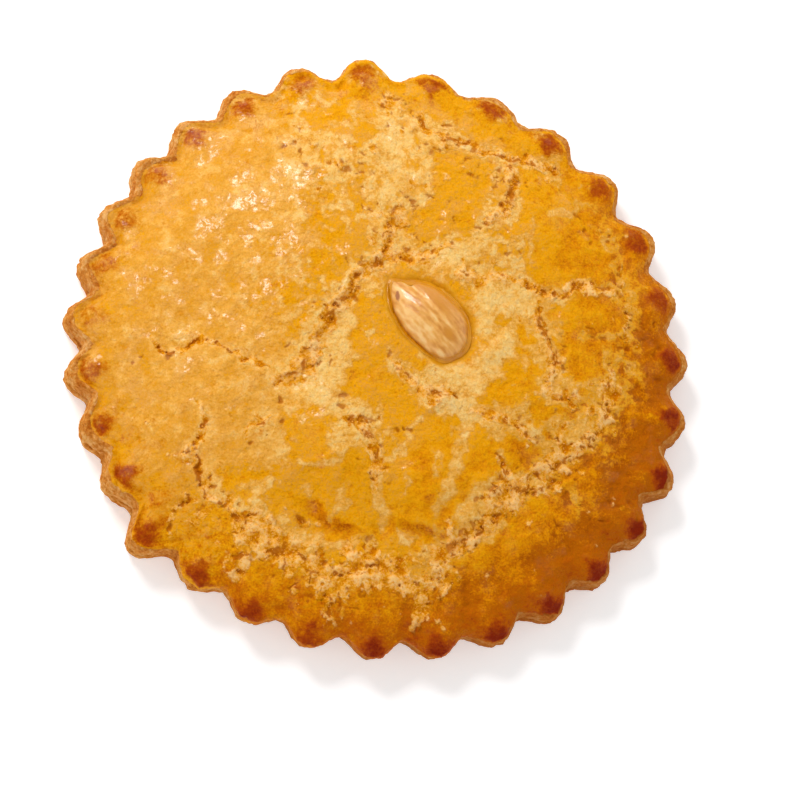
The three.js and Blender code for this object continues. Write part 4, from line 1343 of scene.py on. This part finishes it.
# The tree that strews grains where the crumb is bare.
def crumbScatterTree():
    tree, geometry, size, end = newTree("crumbScatter", crumbling)
    seed = size["Seed"]
    density = named(tree, "crumb").step(0.55, 1.0) * size["Crumb Density"]
    made = {"Mesh": geometry, "Density": density, "Seed": seed}
    strewn = addNode(tree, "GeometryNodeDistributePointsOnFaces", made)
    grain = addNode(tree, "GeometryNodeMeshIcoSphere", {"Radius": size["Grain Radius"], "Subdivisions": 1})

    def drawn(kind, number, **limits):
        made = {**limits, "Seed": number}
        return addNode(tree, "FunctionNodeRandomValue", made, data_type=kind).outputs["Value"]

    made = {"Points": strewn.outputs["Points"], "Instance": grain.outputs["Mesh"]}
    made["Rotation"] = drawn("FLOAT_VECTOR", seed, Max=(6.28, 6.28, 6.28))
    made["Scale"] = drawn("FLOAT_VECTOR", seed + 1, Min=(0.35, 0.35, 0.3), Max=(1.2, 1.2, 0.8))
    placed = addNode(tree, "GeometryNodeInstanceOnPoints", made)
    made = {"Geometry": placed.outputs["Instances"], "Name": "tone", "Value": drawn("FLOAT", seed + 2)}
    toned = addNode(tree, "GeometryNodeStoreNamedAttribute", made, data_type="FLOAT", domain="INSTANCE")
    real = addNode(tree, "GeometryNodeRealizeInstances", {"Geometry": toned.outputs[0]})
    bumpy = addNode(tree, "ShaderNodeTexNoise", {"Scale": 2.2, "Detail": 1.0})
    push = addNode(tree, "ShaderNodeVectorMath", {"Vector": bumpy.outputs["Color"]}, operation="SUBTRACT")
    push.inputs[1].default_value = (0.5, 0.5, 0.5)
    made = {"Vector": push.outputs[0], "Scale": 0.6}
    made = {"Offset": addNode(tree, "ShaderNodeVectorMath", made, operation="SCALE").outputs[0]}
    bumped = addNode(tree, "GeometryNodeSetPosition", {"Geometry": real.outputs[0], **made})
    faced = addNode(tree, "GeometryNodeSetMaterial", {"Geometry": bumped.outputs[0], "Material": crumbLook})
    tree.links.new(faced.outputs[0], end.inputs["Geometry"])
    return tree


def strewCrumb():
    source = topDough.copy()
    source.data = topDough.data.copy()
    source.name = "looseCrumb"
    bpy.context.scene.collection.objects.link(source)
    return runTree(source, crumbScatterTree(), crumbling)


looseCrumb = strewCrumb()
pool = eggPool()
print("crumb strewn")
finishPiece(pool, eggFinish(), None)
finishPiece(topDough, crust, "pastry")
finishPiece(bottomDough, crust, "pastry")
finishPiece(looseCrumb, crumbLook, None)
finishPiece(almondPiece(), almondFinish(), "almond")

studio = {
    "tilt": radians(12),
    "tilt towards": radians(243),
    "distance": 800,
    "pixels per mm": 5.431,
    "object at": (374.75, 360.98),
    "looked at height": 1.2,
    "sensor": 36,
    "frame": 800,
    "key": {"direction": radians(120), "height": radians(50), "distance": 900, "size": 240, "power": 4.3},
    "walls": 0.99,
    "ceiling": 0.44,
    "floor reach": 900,
    "floor glow": 0.36,
}


def aimed(thing, place, target):
    thing.location = Vector(place) * metresPerMm
    away = (Vector(place) - Vector(target)).normalized()
    thing.rotation_euler = away.to_track_quat("Z", "Y").to_euler()


def placeCamera():
    tilt, towards = studio["tilt"], studio["tilt towards"]
    away = Vector((math.sin(tilt) * math.cos(towards), math.sin(tilt) * math.sin(towards), math.cos(tilt)))
    up = (Vector((0, 1, 0)) - away * away.y).normalized()
    right = up.cross(away)
    middle = Vector((0, 0, studio["looked at height"]))
    place = middle + away * studio["distance"]
    offX, offY = ((studio["frame"] / 2 - at) / studio["pixels per mm"] for at in studio["object at"])
    target = middle + right * offX - up * offY
    data = bpy.data.cameras.new("camera")
    data.sensor_width = studio["sensor"]
    data.lens = studio["pixels per mm"] * studio["distance"] * studio["sensor"] / studio["frame"]
    data.clip_start, data.clip_end = 0.01, 10
    camera = bpy.data.objects.new("camera", data)
    bpy.context.scene.collection.objects.link(camera)
    camera.location = place * metresPerMm
    back = (place - target).normalized()
    sideways = (Vector((0, 1, 0)) - back * back.y).normalized().cross(back)
    upward = back.cross(sideways)
    turn = [[sideways[n], upward[n], back[n]] for n in range(3)]
    camera.rotation_euler = Matrix(turn).to_euler()
    bpy.context.scene.camera = camera


def softbox(name, direction, height, distance, size, power):
    data = bpy.data.lights.new(name, "AREA")
    data.shape, data.size, data.energy = "SQUARE", size * metresPerMm, power
    lamp = bpy.data.objects.new(name, data)
    bpy.context.scene.collection.objects.link(lamp)
    flat = math.cos(height) * distance
    place = (flat * math.cos(direction), flat * math.sin(direction), math.sin(height) * distance)
    aimed(lamp, place, (0, 0, 10))


# White studio walls that light the sides, under a dim ceiling.
def paintWorld(tree):
    facing = addNode(tree, "ShaderNodeTexCoord").outputs["Generated"]
    upward = Wire(tree, addNode(tree, "ShaderNodeSeparateXYZ", {"Vector": facing}).outputs["Z"])
    glow = (1 - upward.step(0.45, 0.75)) * (studio["walls"] - studio["ceiling"]) + studio["ceiling"]
    plug(tree, glow, tree.nodes["Background"].inputs["Strength"])
    tree.nodes["Background"].inputs["Color"].default_value = (1, 1, 1, 1)


placeCamera()
softbox("keySoftbox", **studio["key"])
world = bpy.data.worlds.new("studioWalls")
world.use_nodes = True
paintWorld(world.node_tree)
bpy.context.scene.world = world
bpy.context.scene.view_settings.view_transform = "Standard"

floorFinish = Finish("paleFloor")
floorFinish.set(colour=(0.9, 0.9, 0.9, 1), rough=0.9, specular=0.1)
floorFinish.set(shine=(1, 1, 1, 1), shineStrength=studio["floor glow"])
floor = meshFrom("floor", [(-1, -1, 0), (1, -1, 0), (1, 1, 0), (-1, 1, 0)], [(0, 1, 2, 3)])
movePoints(floor, pointsOf(floor) * studio["floor reach"] * metresPerMm)
floor.data.materials.append(floorFinish.material)
print("studio ready")
